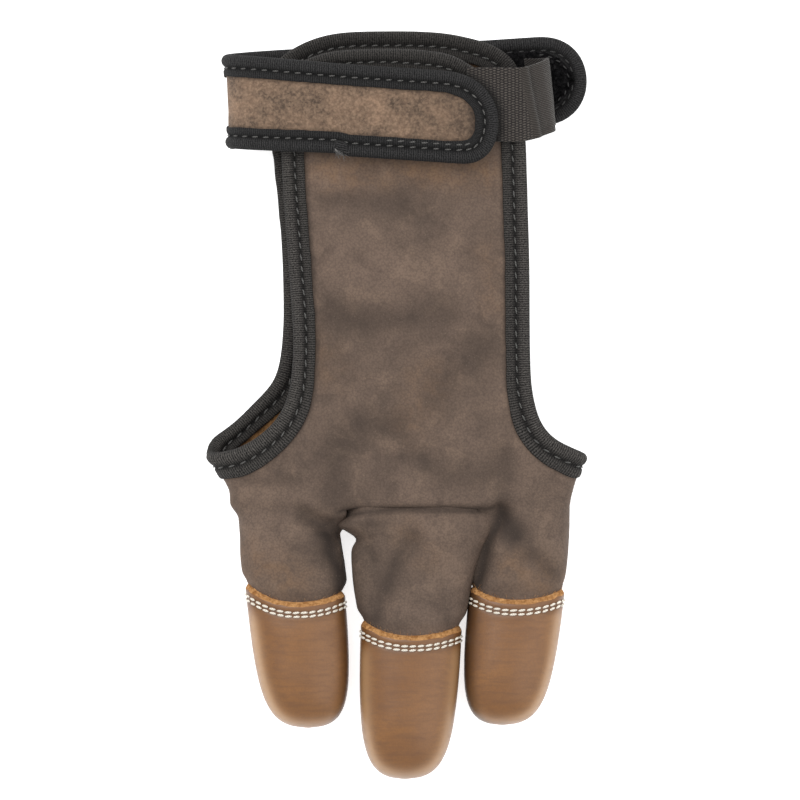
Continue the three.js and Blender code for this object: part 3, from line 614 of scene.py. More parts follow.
frontOutline = panelOutline(hand["frontLeft"], hand["frontRight"], hand["frontLength"], hand["depthLeft"],
                            hand["depthRight"], hand["frontArch"], 0.75)
backOutline = panelOutline(hand["backLeft"], hand["frontRight"], hand["backLength"],
                           hand["depthLeft"] - hand["backOut"], hand["depthRight"] + 0.6,
                           hand["backArch"], 0.84)


def insideOutline(outline, x, y):
    # below the foot of the side openings everything is kept
    if y <= outline[0].y + 0.3:
        return True
    inside = False
    for a, b in zip(outline, outline[1:]):
        if (a.y > y) != (b.y > y) and x < a.x + (y - a.y) / (b.y - a.y) * (b.x - a.x):
            inside = not inside
    return inside


# Fingers
# root and tip are the X of the middle line, and rise, dark (painted shade) and light (painted highlight) each
# hold a value for both sides
fingers = {
    "left": {"root": -32.4, "tip": -26.6, "length": 62.3, "stall": 36.4, "width": 29.2, "height": 16.2,
             "foldAt": 0.48, "rise": (5.2, 3.0), "dark": (0.0, 0.6), "light": (0.5, 0.0)},
    "middle": {"root": 4.6, "tip": 1.5, "length": 77.1, "stall": 41.6, "width": 29.8, "height": 18.0,
               "foldAt": 0.5, "rise": (4.2, 2.7), "dark": (0.12, 0.12), "light": (0.45, 0.4)},
    "right": {"root": 36.3, "tip": 29.6, "length": 61.5, "stall": 36.3, "width": 28.2, "height": 16.0,
              "foldAt": 0.47, "rise": (3.7, 2.9), "dark": (0.8, 0.0), "light": (0.0, 0.45)},
}
# at, wide, high
sideFingerTube = [(-0.42, 0.8, 0.8), (-0.1, 0.93, 0.93), (0.4, 0.98, 0.99), (0.82, 0.995, 1.01),
                  (0.95, 0.97, 0.95), (1.06, 0.86, 0.8), (1.5, 0.83, 0.76)]
middleFingerTube = [(-0.13, 1.3, 0.83), (0.0, 1.36, 0.95), (0.1, 1.31, 0.99), (0.24, 1.24, 1.0),
                    (0.44, 1.21, 0.99), (0.66, 1.12, 1.0), (0.88, 1.015, 1.0), (0.96, 0.97, 0.94),
                    (1.05, 0.86, 0.8), (1.4, 0.83, 0.76)]
stallTable = [(0, 0.985, 0.97), (0.3, 0.965, 1.0), (0.58, 0.905, 1.0), (0.74, 0.83, 0.94), (0.86, 0.71, 0.82),
              (0.94, 0.54, 0.62), (0.985, 0.3, 0.36), (1, 0.02, 0.05)]


def fingerOval(finger, y, wide, high):
    along = clamp(-y / finger["length"], -0.2, 1)
    height = finger["height"] * high
    low = finger["height"] * max(1 - high, 0) * 0.42
    return {"x": mix(finger["root"], finger["tip"], along), "y": y, "left": finger["width"] * wide / 2,
            "right": finger["width"] * wide / 2, "fold": low + height * finger["foldAt"], "top": low + height,
            "low": low, "roundTop": 2.25, "roundLow": 3.0}


stall = {"thick": 2.0, "rows": (2.95, 4.1), "pitch": 2.36}


def stallEdge(finger, angle):
    c = math.cos(angle)
    return finger["stall"] - finger["length"] + finger["rise"][0 if c < 0 else 1] * abs(c) ** 1.9


def stallPoint(finger, angle, down, offset):
    # down is the distance from the stall's edge towards the tip
    edge = finger["stall"] - finger["length"]
    share = clamp(down / finger["stall"])
    rise = (stallEdge(finger, angle) - edge) * (1 - ease(down, 2, 17))
    oval = fingerOval(finger, edge - down + rise, readRows(stallTable, 1, share),
                      readRows(stallTable, 2, share))
    spot = ovalPoint(oval, angle, offset)
    spot.z = max(spot.z, 0.06)
    return spot


def tubeSheet(columns, rows, ovalAt, offset=0.0, capped=True):
    # tube along Y whose section at each share is an oval
    def place(u, v):
        oval = ovalAt(v)
        if capped and (v <= 0 or v >= 1):
            return Vector((oval["x"], oval["y"], (oval["top"] + oval["low"]) / 2))
        return ovalPoint(oval, -2 * math.pi * (u if u < 1 else 0.0), offset)
    return foldedSheet(columns, rows, place)


def appendSheet(target, source):
    mesh = bpy.data.meshes.new("part")
    source.to_mesh(mesh)
    source.free()
    target.from_mesh(mesh)
    bpy.data.meshes.remove(mesh)


def voxelSkin(bm, size):
    # one skin round everything in the bmesh
    bmesh.ops.recalc_face_normals(bm, faces=bm.faces)
    mesh = bpy.data.meshes.new("skin")
    bm.to_mesh(mesh)
    bm.free()
    holder = bpy.data.objects.new("skin", mesh)
    bpy.context.collection.objects.link(holder)
    remesh = holder.modifiers.new("skin", "REMESH")
    remesh.mode = "VOXEL"
    remesh.voxel_size = size
    evaluated = holder.evaluated_get(bpy.context.evaluated_depsgraph_get())
    made = bpy.data.meshes.new_from_object(evaluated)
    skin = bmesh.new()
    skin.from_mesh(made)
    bpy.data.objects.remove(holder)
    bpy.data.meshes.remove(mesh)
    bpy.data.meshes.remove(made)
    return skin


# Soft folds of the leather as lines on the plan: points, half-width, depth, shade, and where they are:
# 1 front, 2 front of the body only, 3 front of the middle finger only, -1 back
folds = [
    ([(-22, 89), (-6, 88.5), (7, 86.5)], 3.2, 0.35, 0.42, 1),
    ([(-22, 58), (-12, 55), (0, 55.5), (12, 57.5)], 5.2, 0.75, 0.55, 1),
    ([(-8, 51), (2, 49.5), (10, 51)], 4.0, 0.3, 0.3, 1),
    ([(24, 47), (14, 39.5), (8, 32)], 5.2, 0.55, 0.34, 1),
    ([(-2, 26), (-12, 24), (-18, 16), (-18.5, 5)], 5.4, 0.75, 0.5, 1),
    ([(2, 15), (14, 10.5), (27, 12)], 4.4, 0.5, 0.4, 1),
    ([(31, 16), (30.5, 3)], 3.6, 0.8, 0.5, 2),
    ([(29.5, -0.5), (27, -5), (24.8, -11), (22, -20), (20.6, -30)], 2.9, 2.4, 1.0, 2),
    ([(30.5, -1.5), (32.5, -8)], 3.6, 0.8, 0.95, 2),
    ([(34, -7), (43, -18)], 3.2, 0.6, 0.5, 2),
    ([(-29, 0), (-22, -1.8), (-18.5, -5)], 2.8, 0.9, 0.7, 2),
    ([(-22, -5), (-19.4, -9), (-17.4, -16), (-16.4, -28)], 3.1, 0.3, 1.0, 2),
    ([(-43, 9.5), (-30, 9)], 2.2, 0.35, 0.25, 1),
    ([(-45, 1.5), (-34, 0)], 2.2, 0.35, 0.2, 1),
    ([(4, -9), (-1, -15), (-5.5, -23), (-7, -32)], 3.6, 0.85, 0.55, 3),
    ([(-11, -9), (-8, -14)], 1.8, 0.5, 0.45, 3),
    ([(-16, -1), (-10, -3.5), (-6, -3)], 1.3, 0.4, 0.4, 3),
    ([(11, -20), (14, -31)], 2.2, 0.35, 0.25, 3),
    ([(-1, -34), (4, -31.5), (8, -34)], 1.0, 0.25, 0.3, 3),
    ([(-20, 80), (0, 78), (20, 82)], 6.0, 0.8, 0.4, -1),
    ([(-18, 40), (4, 44), (24, 38)], 6.0, 0.7, 0.4, -1),
]
# lighter, warmer patches, partly a tan tint of the leather and partly painted highlight along the outer sides
# of the side fingers: points, half-width, amount
warmSpots = [
    ([(-22, 97.5), (0, 99), (24, 98)], 5.0, 0.75), ([(8, 39), (4, 26)], 6.0, 0.4),
    ([(-43, -14), (-31, -20)], 6.0, 0.6), ([(33, -16), (45, -21)], 5.5, 0.6),
    ([(-24, 49), (-20, 40)], 5.0, 0.3), ([(25, 74), (26, 60)], 4.0, 0.3),
    ([(2, -6), (8, -12)], 5.0, 0.3), ([(-51, 6), (-49, -6)], 2.0, 0.6),
]


def nearLine(line, x, y):
    nearest = 1e9
    for a, b in zip(line, line[1:]):
        dx, dy = b[0] - a[0], b[1] - a[1]
        t = clamp(((x - a[0]) * dx + (y - a[1]) * dy) / (dx * dx + dy * dy))
        nearest = min(nearest, math.hypot(x - a[0] - t * dx, y - a[1] - t * dy))
    return nearest


def foldsAt(x, y, side, piece):
    # the lines wander a little so that no fold is straight
    x += 2.2 * noise.noise(Vector((x / 9, y / 9, 1.5)))
    y += 2.2 * noise.noise(Vector((x / 9, y / 9, 7.5)))
    depth = shade = 0.0
    for line, width, deep, dark, which in folds:
        near = nearLine(line, x, y) if which * side > 0 and which in (1, -1, piece) else 1e9
        if near < 3 * width:
            share = math.exp(-(near / width) ** 2)
            depth += deep * share
            shade = max(shade, dark * share)
    return depth, shade


def warmAt(x, y):
    return clamp(sum(amount * math.exp(-(nearLine(line, x, y) / width) ** 2)
                     for line, width, amount in warmSpots))


# The seam of the middle finger: it droops to the left
seamLine = {"left": -15.2, "right": 22.4, "middle": 4, "y": 1.0, "slope": 0.02}


def seamDrop(x):
    return -0.0045 * max(5 - max(x, -19), 0) ** 2


def seamLineY(x):
    return seamLine["y"] - seamLine["slope"] * (x - seamLine["middle"])


def edgeGap(x, y, side):
    if y < -10:
        return 30.0
    outline = frontOutline if side > 0 else backOutline
    return math.sqrt(min((p.x - x) ** 2 + (p.y - y) ** 2 for p in outline[::2]))


def bodyFade(x, y, side):
    # 0 at a taped edge or inside a stall, 1 well away from them
    return ease(y, -27.5, -22) * ease(edgeGap(x, y, side), 5.0, 9.5)


def tuckIntoStall(vert, name):
    # the leather turns in just above the stall's edge
    finger = fingers[name]
    oval = fingerOval(finger, vert.co.y, 1.0, 1.0)
    angle = angleNear(oval, vert.co)
    inside = stallEdge(finger, angle) - vert.co.y
    if inside > -4.5:
        sunk = mix(-0.9, -stall["thick"] - 0.1, ease(inside, -0.4, 1.4))
        target = stallPoint(finger, angle, max(inside, 0.0), sunk)
        target.y = vert.co.y
        vert.co = vert.co.lerp(target, ease(inside, -4.5, 0.2) ** 1.5)


def wrinkleSkin(bm, fadeAt, pieceCode, amount=1.0):
    bm.normal_update()
    shade = bm.verts.layers.float.new("shade")
    tintAndHighlight = bm.verts.layers.float.new("tintAndHighlight")
    for vert in bm.verts:
        x, y, z = vert.co
        side = 1 if vert.normal.z >= 0 else -1
        fade = fadeAt(x, y, side)
        broad = noise.noise(Vector((x / 17, y / 21, side * 3.1))) * 0.5
        fine = noise.noise(Vector((x / 6.5 + 9, y / 7.5, side * 5.3))) * 0.26
        deep, dark = foldsAt(x, y, side, pieceCode)
        seam = math.exp(-((y - seamLineY(x)) / 1.0) ** 2) * ease(x, -20, -17) * ease(-x, -28.5, -26.5)
        dark = max(dark * mix(0.5, 1, fade), 0.75 * seam)
        # painted shade on the leather beside the tape's inner edge
        if pieceCode == 2 and y > 0:
            dark = max(dark, 0.7 * ease(-edgeGap(x, y, side), -6.8, -5.2))
        vert[shade] = clamp(dark)
        vert[tintAndHighlight] = warmAt(x, y)
        if pieceCode == 2 and side > 0:
            deep += 1.5 * math.exp(-((x + 14) / 4.5) ** 2 - ((y - 1.5) / 3.0) ** 2)
        vert.co += vert.normal * (((broad + fine) * amount - deep) * fade - 0.5 * seam)
        vert.co.y += seamDrop(x) * math.exp(-((y - 1) / 7) ** 2) * ease(x, -30, -19)
        if pieceCode == 3:
            tuckIntoStall(vert, "middle")
        elif y < -12:
            tuckIntoStall(vert, "left" if x < 0 else "right")
        vert.co.z = max(vert.co.z, 0.05)


# Body leather
def makeBody():
    bm = tubeSheet(110, 96, lambda v: handOval(mix(-1.5, 141.0, v)), 0.6)
    # the leather is a little fuller than the stalls where the fingers meet
    for name, fuller, atRoot, atTip in (("left", 1.2, 0.0, 0.5), ("right", 1.0, -0.9, -0.9)):
        finger = dict(fingers[name])
        free = finger["length"] - finger["stall"]
        finger["width"] += fuller
        finger["root"] += atRoot
        finger["tip"] += atTip

        def ovalAt(v, finger=finger, free=free):
            wide, high = (readRows(sideFingerTube, column, mix(-0.42, 1.5, v)) for column in (1, 2))
            return fingerOval(finger, mix(0.42 * free, -1.5 * free, v), wide, high)
        appendSheet(bm, tubeSheet(64, 40, ovalAt))
    for centre, size in (((-17.3, 0.8, 8.2), (3.9, 4.4, 5.6)), ((24.5, -1.0, 6.5), (4.2, 4.6, 4.4))):
        web = bmesh.new()
        matrix = Matrix.LocRotScale(Vector(centre), None, Vector(size))
        bmesh.ops.create_uvsphere(web, u_segments=24, v_segments=14, radius=1.0, matrix=matrix)
        appendSheet(bm, web)
    skin = voxelSkin(bm, 1.0)
    for _ in range(4):
        bmesh.ops.smooth_vert(skin, verts=skin.verts, factor=0.5, use_axis_x=True, use_axis_y=True,
                              use_axis_z=True)
    # the middle finger's place: a clean cut between the two side fingers
    near = [f for f in skin.faces if seamLine["left"] - 2 < f.calc_center_median().x < seamLine["right"] + 2
            and -6 < f.calc_center_median().y < 8]
    geometry = list({*near, *(e for f in near for e in f.edges), *(v for f in near for v in f.verts)})
    bmesh.ops.bisect_plane(skin, geom=geometry, dist=0.0001, plane_co=(seamLine["middle"], seamLine["y"], 0),
                           plane_no=(seamLine["slope"], 1, 0))
    gone = []
    for face in skin.faces:
        c = face.calc_center_median()
        side = 1 if c.z >= handOval(c.y)["fold"] else -1
        outline = frontOutline if side > 0 else backOutline
        if c.y > 0 and not insideOutline(outline, c.x, c.y):
            gone.append(face)
        elif seamLine["left"] < c.x < seamLine["right"] and seamLineY(c.x) > c.y > -3.2:
            gone.append(face)
        elif c.y < -36.0:
            gone.append(face)
    bmesh.ops.delete(skin, geom=gone, context="FACES")
    wrinkleSkin(skin, bodyFade, 2)
    piece = finishPiece(skin, "bodyLeather", [bodyLeather, fleshSide], ["body_leather"],
                        outwards=False)
    thicken(piece, hand["leather"], -1, 1, 0)
    return piece


def middleFade(x, y, side):
    return ease(y, -36.5, -31) * ease(-y, -4, 4)


def makeMiddleFinger():
    finger = fingers["middle"]
    free = finger["length"] - finger["stall"]
    bm = tubeSheet(84, 64, lambda v: fingerOval(finger, mix(0.13 * free, -1.4 * free, v), *(
        readRows(middleFingerTube, c, mix(-0.13, 1.4, v)) for c in (1, 2))), capped=False)
    bmesh.ops.recalc_face_normals(bm, faces=bm.faces)
    for vert in bm.verts:
        oval = fingerOval(finger, vert.co.y, 1.2, 1.0)
        flank = clamp((vert.co.x - oval["x"]) / oval["right"], -1.2, 1.2)
        y = vert.co.y
        if flank > 0:
            vert.co.x += (3.0 * ease(y, -17, -3) - 1.4 * ease(y, -7, 0)) * flank ** 2
            vert.co.z += 0.9 * ease(y, -18, -3) * flank
        else:
            pinch = 1.7 * math.exp(-((y + 7.4) / 2.0) ** 2) - 2.7 * math.exp(-((y + 1.8) / 2.6) ** 2)
            vert.co.x += pinch * ease(-flank, 0.45, 1)
            if vert.co.z > oval["fold"]:
                vert.co.z += 2.4 * ease(y, -9, -1) * math.exp(-((flank + 0.85) / 0.35) ** 2)
    wrinkleSkin(bm, middleFade, 3, 1.2)
    piece = finishPiece(bm, "middleFinger", [bodyLeather, fleshSide], ["middle_finger"])
    thicken(piece, hand["leather"], -1, 1, 0)
    return piece


makeBody()
makeMiddleFinger()
print("leather body ready")


def makeStitches(name, sites, size, material, lean=0.0, seed=1):
    # one grain-shaped stitch at each site: place, direction, outward normal
    bm = bmesh.new()
    for i, (spot, along, out) in enumerate(sites):
        out = out.normalized()
        along = (along - out * along.dot(out)).normalized()
        across = out.cross(along)
        turn = lean + 0.12 * noise.noise(Vector((i * 1.7, seed, 0.3)))
        c, s = math.cos(turn), math.sin(turn)
        along, across = along * c + across * s, across * c - along * s
        length = size[0] * (1 + 0.12 * noise.noise(Vector((i * 0.9, seed + 4, 2.0))))
        matrix = Matrix((across * size[1], out * size[2], along * length)).transposed().to_4x4()
        matrix.translation = spot
        bmesh.ops.create_uvsphere(bm, u_segments=7, v_segments=5, radius=1.0, matrix=matrix)
    return finishPiece(bm, name, [material])


def evenPoints(points, step, closed=True):
    line = list(points) + ([points[0]] if closed else [])
    runs = [0.0]
    for a, b in zip(line, line[1:]):
        runs.append(runs[-1] + (b - a).length)
    count = round(runs[-1] / step)
    made, k = [], 0
    for i in range(count if closed else count + 1):
        at = runs[-1] * i / count
        while k < len(runs) - 2 and runs[k + 1] < at:
            k += 1
        made.append(line[k].lerp(line[k + 1], (at - runs[k]) / max(runs[k + 1] - runs[k], 1e-9)))
    return made


def softened(points, rounds):
    count = len(points)
    for _ in range(rounds):
        points = [(points[i - 1] + points[i] * 2 + points[(i + 1) % count]) / 4 for i in range(count)]
    return points


# Fingertip stalls
def makeStall(name):
    finger = fingers[name]

    def groove(down):
        return -0.16 * sum(math.exp(-((down - row) / 0.5) ** 2) for row in stall["rows"])
    profile = [(down, -stall["thick"]) for down in (14.0, 8.0, 3.0)] + [(0.6, -1.95), (-0.45, -1.75)]
    rimStart = len(profile) - 1
    profile += [(-0.35, -1.2), (0.15, -0.7), (0.75, -0.3), (1.25, -0.05)]
    rimEnd = len(profile) - 1
    grooveSteps = (1.7, 2.2, 2.6, 3.0, 3.3, 3.6, 4.0, 4.4, 4.8, 5.1, 5.4, 5.8, 6.4, 7.2)
    profile += [(down, groove(down)) for down in grooveSteps]
    steps = 34
    for i in range(1, steps + 1):
        profile.append((mix(grooveSteps[-1], finger["stall"], 1 - (1 - i / steps) ** 1.9), 0.0))
    tip = Vector(stallPoint(finger, 0, finger["stall"], 0))

    def place(u, v):
        k = round(v * (len(profile) - 1))
        down, offset = profile[k]
        angle = 2 * math.pi * (u if u < 1 else 0)
        if k == len(profile) - 1:
            return tip
        rough = 0.0
        if rimStart <= k <= rimEnd:
            seedPoint = Vector((math.cos(angle) * 6, math.sin(angle) * 6, k * 0.7 + finger["tip"]))
            rough = 0.32 * noise.noise(seedPoint)
        spot = stallPoint(finger, angle, down + rough, offset + rough * 0.6)
        if k > rimEnd + 12:
            spread = 0.22 * noise.noise(spot / 9.0)
            spot += Vector((0, 0, spread * (1 if spot.z > 6 else 0)))
        return spot

    def mark(u, v):
        # painted shade on the sides that face the next finger; the band along the stitch rows is darker too
        c = math.cos(2 * math.pi * u)
        shade = finger["dark"][0] * ease(-c, 0.55, 0.97) + finger["dark"][1] * ease(c, 0.7, 0.99)
        down, offset = profile[round(v * (len(profile) - 1))]
        stitchedBand = 0.35 * math.exp(-((down - 3.5) / 1.6) ** 2) if offset > -0.2 else 0.0
        return clamp(max(shade, stitchedBand))
    bm = foldedSheet(72, len(profile) - 1, place, (1.0, float(len(profile) - 1)), mark=mark)
    uvLayer = bm.loops.layers.uv[0]
    for face in bm.faces:
        row = min(loop[uvLayer].uv.y for loop in face.loops)
        face.material_index = 1 if row < rimEnd - 0.5 else 0
    # painted highlight: the turn down to the sides and the tip is lighter
    tintAndHighlight = bm.verts.layers.float.new("tintAndHighlight")
    bmesh.ops.recalc_face_normals(bm, faces=bm.faces)
    bm.normal_update()
    edgeAt = -stallEdge(finger, 0)
    for vert in bm.verts:
        facing = vert.normal
        turned = max(math.hypot(facing.x, min(facing.y, 0)), 0.001)
        light = finger["light"][0 if facing.x < 0 else 1] * abs(facing.x) + 0.3 * max(-facing.y, 0)
        if facing.z > 0:
            shown = math.exp(-((turned - 0.8) / 0.2) ** 2) * ease(-vert.co.y, edgeAt + 4, edgeAt + 9)
            vert[tintAndHighlight] = light / turned * shown
    title = name.capitalize()
    piece = finishPiece(bm, "stall" + title, [stallLeather, rawEdge], ["stall_" + name])
    sites = []
    for row in stall["rows"]:
        ring = [stallPoint(finger, 2 * math.pi * i / 240, row, 0.05) for i in range(240)]
        spots = evenPoints(ring, stall["pitch"])
        count = len(spots)
        centre = sum(spots, Vector()) / count
        for i, spot in enumerate(spots):
            along = spots[(i + 1) % count] - spots[i - 1]
            out = spot - centre
            out.y = 0
            out.x *= 0.45
            spot.z = max(spot.z, 0.36)
            sites.append((spot, along, out))
    makeStitches("stitches" + title, sites, (1.06, 0.39, 0.31), whiteThread, 0.1,
                 finger["length"])
    return piece


def makeFibres(name, sites, material, thickness):
    # short bent hairs: place, direction, outward normal, length
    data = bpy.data.curves.new(name, "CURVE")
    data.dimensions = "3D"
    data.bevel_depth = thickness * millimetre
    data.bevel_resolution = 0
    for i, (spot, along, out, length) in enumerate(sites):
        sway = Vector((noise.noise(Vector((i * 1.3, 0.2, 5))), noise.noise(Vector((i * 1.1, 7, 2))),
                       noise.noise(Vector((3, i * 1.7, 4)))))
        spline = data.splines.new("POLY")
        spline.points.add(3)
        for k in range(4):
            t = k / 3
            point = spot + along * (length * t) + out * (length * (0.35 * t - 0.25 * t * t))
            point += sway * (length * t * t * 1.6)
            point.z = max(point.z, 0.1)
            point = (point + frameShift) * millimetre
            spline.points[k].co = (*point, 1.0)
            spline.points[k].radius = 1.0 - 0.75 * t
    data.materials.append(material)
    piece = bpy.data.objects.new(name, data)
    bpy.context.collection.objects.link(piece)
    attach(piece, "root")
    return piece


def makeRimFibres(name):
    finger = fingers[name]
    sites = []
    for i in range(110):
        angle = math.pi * (0.02 + 0.96 * ((i * 0.6180339) % 1.0))
        spot = stallPoint(finger, angle, -0.1 + 0.5 * noise.noise(Vector((i, 1, 2))), -1.1)
        out = (stallPoint(finger, angle, 0, 1) - stallPoint(finger, angle, 0, 0)).normalized()
        along = Vector((0.7 * noise.noise(Vector((i * 2.1, 4, 1))), 1.0, 0.1)).normalized()
        sites.append((spot, along, out, 0.7 + 1.0 * abs(noise.noise(Vector((i * 0.77, 2, 9))))))
    makeFibres("rimFibres" + name.capitalize(), sites, rawEdge, 0.06)


for fingerName in fingers:
    makeStall(fingerName)
    makeRimFibres(fingerName)
print("stalls ready")

# Folded tape
tapeShape = {
    "fold": 1.6, "step": 1.12, "stitchAt": 2.9, "stitchPitch": 3.36,
    # along the leather from its edge, away from mid-leather, for a leather half as thick as 0.6
    "leg": [(6.0, 0.62), (6.15, 0.9), (6.05, 1.2), (5.6, 1.36), (4.9, 1.42), (4.2, 1.4), (3.7, 1.25),
            (3.3, 0.98), (2.95, 0.84), (2.6, 0.9), (2.25, 1.15), (1.8, 1.55), (1.1, 1.82), (0.3, 1.9),
            (-0.5, 1.7), (-1.15, 1.25), (-1.5, 0.62)],
    "inner": [(2.0, -0.6), (-0.2, 0.0), (2.0, 0.6)],
}


def tapeProfile(leatherHalf):
    extra = leatherHalf - 0.6
    top = [(a, h + extra * (1 if a > -0.6 else 0.6)) for a, h in tapeShape["leg"]]
    return top + [(-tapeShape["fold"], 0.0)] + [(a, -h) for a, h in reversed(top)] + tapeShape["inner"]


def tapeRings(path, inwards, pointAt, profile, reachAt, seed):
    # pointAt(path index, distance inwards, away) gives the place on the leather
    rings = []
    for i, here in enumerate(path):
        reach = reachAt(here)
        ring = []
        for along, away in profile:
            fray = 0.16 * noise.noise(Vector((i * 0.31, seed, 0.4))) if along > 5 else 0
            puff = 1 + 0.06 * noise.noise(Vector((i * 0.13, seed, 0.7 if away > 0 else 5.7)))
            along = along * reach + fray if along > 0 else along
            spot = pointAt(i, along, away * puff)
            spot.z = max(spot.z, 0.04)
            ring.append(spot)
        rings.append(ring)
    return rings


def makeTapePiece(name, rings, profile, runLength, material, replaced, dimAt=lambda spot: 0.0):
    count, around = len(rings), len(profile)
    width = sum(math.hypot(b[0] - a[0], b[1] - a[1]) for a, b in zip(profile, profile[1:] + profile[:1]))

    def place(u, v):
        return rings[round(u * count) % count][round(v * around) % around]

    def mark(u, v):
        # painted shade: darker in the stitch groove, towards the folded outer edge, over the inner lip and at
        # its very edge, plus what dimAt adds
        along, away = profile[round(v * around) % around]
        phase = math.pi * u * count * tapeShape["step"] / tapeShape["stitchPitch"]
        pit = math.exp(-((along - tapeShape["stitchAt"]) / 0.98) ** 2) * (0.8 + 0.2 * math.sin(phase) ** 2)
        pit = max(pit, 0.5 * ease(-along, 0.2, 1.6), 0.3 if along > 3.7 else 0)
        edge = 0.9 * math.exp(-((along - 6.1) / 0.25) ** 2) if abs(away) < 1.0 else 0
        return clamp(max(pit + edge, dimAt(place(u, v))))
    bm = foldedSheet(count, around, place, (runLength, width), mark=mark)
    print(name, round(runLength, 1), "mm round")
    return finishPiece(bm, name, [material], replaced)


def stitchIndexes(count):
    every = tapeShape["stitchPitch"] / tapeShape["step"]
    return [round(k * every) % count for k in range(int(count / every))]


def makeEdgeTape():
    loop = [handAt(p.x, p.y, 1) for p in frontOutline]
    loop += [handAt(p.x, p.y, -1) for p in backOutline[1:-1][::-1]]
    path = evenPoints(loop, tapeShape["step"])
    path = [handPoint(p, 0) for p in softened(path, 6)]
    count = len(path)
    outs = [(handPoint(p, 1) - handPoint(p, 0)).normalized() for p in path]
    tangents = [(path[(i + 2) % count] - path[i - 2]).normalized() for i in range(count)]
    inwards = [t.cross(n).normalized() for n, t in zip(outs, tangents)]

    def reachAt(here):
        front = here.z > handOval(here.y)["fold"]
        side = (0.79 if here.x < 0 else 0.86) if front else 0.9
        if not front:
            return mix(0.98, side, ease(here.y, 45, 70)) - 0.24 * math.exp(-((here.y - 25.0) / 8.0) ** 2)
        return mix(0.98, side, ease(here.y, 20, 45))

    def pointAt(i, along, away):
        if along > 0:
            return handPoint(path[i] + inwards[i] * along, away)
        return path[i] + inwards[i] * along + outs[i] * away
    profile = tapeProfile(hand["leather"] / 2)
    rings = tapeRings(path, inwards, pointAt, profile, reachAt, 1.2)
    length = sum((path[i] - path[i - 1]).length for i in range(count))
    # painted shade: the binding darkens along the wrist arches
    makeTapePiece("edgeBinding", rings, profile, length, edgeTape, ["edge_binding"],
                  lambda spot: 0.5 * ease(spot.y, 110, 124))
    sites = []
    for i in stitchIndexes(count):
        for face in (1, -1):
            spot = handPoint(path[i] + inwards[i] * tapeShape["stitchAt"] * reachAt(path[i]), face * 1.08)
            if spot.z > 0.4:
                sites.append((spot, tangents[i], outs[i] * face))
    makeStitches("edgeStitches", sites, (1.02, 0.26, 0.22), tapeThread, 0.16, 3)


makeEdgeTape()
print("edge binding ready")

# Wrist strap
strap = {
    "leather": 1.5, "frontEnd": 26.4, "backEnd": 52.9, "middle": 118.2, "shear": 0.05, "squeeze": 0.967,
    "tapeHalf": 1.97, "inner": 4.09, "outer": 5.49, "turnY": 118.5, "frontSlope": 0.066,
    "backSlope": 0.066, "bow": 0.9, "halfTurn": 12.15, "halfFront": 11.5, "halfBack": 11.3,
    "joint": -17.8, "jointStep": 0.7,
}


def makeStrapLine():
    oval = handOval(strap["middle"])
    line = [Vector((mix(strap["backEnd"] + 6, 0.0, i / 12), strap["tapeHalf"])) for i in range(13)]
    full = math.pi * 1.5
    for i in range(1, 181):
        angle = full - (i / 180) * (full - 0.12)
        lift = mix(strap["inner"], strap["outer"], ease(-angle, -math.pi * 1.05, -math.pi * 0.55))
        p = ovalPoint(oval, angle, lift)
        line.append(Vector((p.x, p.z)))
    return line


strapLine = makeStrapLine()
strapRuns = [0.0]
for a, b in zip(strapLine, strapLine[1:]):
    strapRuns.append(strapRuns[-1] + (b - a).length)
strapTurn = min(range(len(strapLine)), key=lambda i: strapLine[i].x)


def strapPoint(run, y, away):
    run = clamp(run, 0.0, strapRuns[-1] - 0.001)
    low, high = 0, len(strapRuns) - 1
    while high - low > 1:
        half = (low + high) // 2
        low, high = (half, high) if strapRuns[half] <= run else (low, half)
    t = (run - strapRuns[low]) / (strapRuns[high] - strapRuns[low])
    last = len(strapLine) - 1

    def heading(k):
        return (strapLine[min(k + 1, last)] - strapLine[max(k - 1, 0)]).normalized()
    along = heading(low).lerp(heading(high), t).normalized()
    p = strapLine[low].lerp(strapLine[high], t)
    p.x *= strap["squeeze"] if p.x < 0 else 1
    return Vector((p.x - along.y * away - strap["shear"] * (y - strap["turnY"]), y, p.y + along.x * away))


def strapRunAt(x, over):
    span = range(strapTurn, len(strapLine) - 1) if over else range(0, strapTurn)
    for i in span:
        a, b = strapLine[i].x, strapLine[i + 1].x
        if (a - x) * (b - x) <= 0 and a != b:
            return mix(strapRuns[i], strapRuns[i + 1], (x - a) / (b - a))
    return strapRuns[-1]


strapStart, strapFinish = strapRunAt(strap["backEnd"], False), strapRunAt(strap["frontEnd"], True)
strapJoint = strapRunAt(strap["joint"], True)


def strapY(run):
    past = run - strapRuns[strapTurn]
    if past > 0:
        return strap["turnY"] - past * strap["frontSlope"]
    return strap["turnY"] - past * strap["backSlope"] + strap["bow"] * math.sin(math.pi * clamp(-past / 80))


def strapHalf(run, side):
    past = run - strapRuns[strapTurn]
    wanted = strap["halfFront"] if past > 0 else strap["halfBack"]
    half = mix(strap["halfTurn"], wanted, ease(abs(past), 6, 45))
    if past > 0:
        end, rounding = strapFinish - run, 14.0 if side > 0 else 9.8
        if side < 0:
            half += strap["jointStep"] * ease(run, strapJoint - 0.6, strapJoint + 0.6) - 0.35
    else:
        end, rounding = run - strapStart, 12.2
    if end >= rounding:
        return half
    t = 1 - max(end, 0) / rounding
    return half * (1 - t ** 2.3) ** (1 / 2.1)


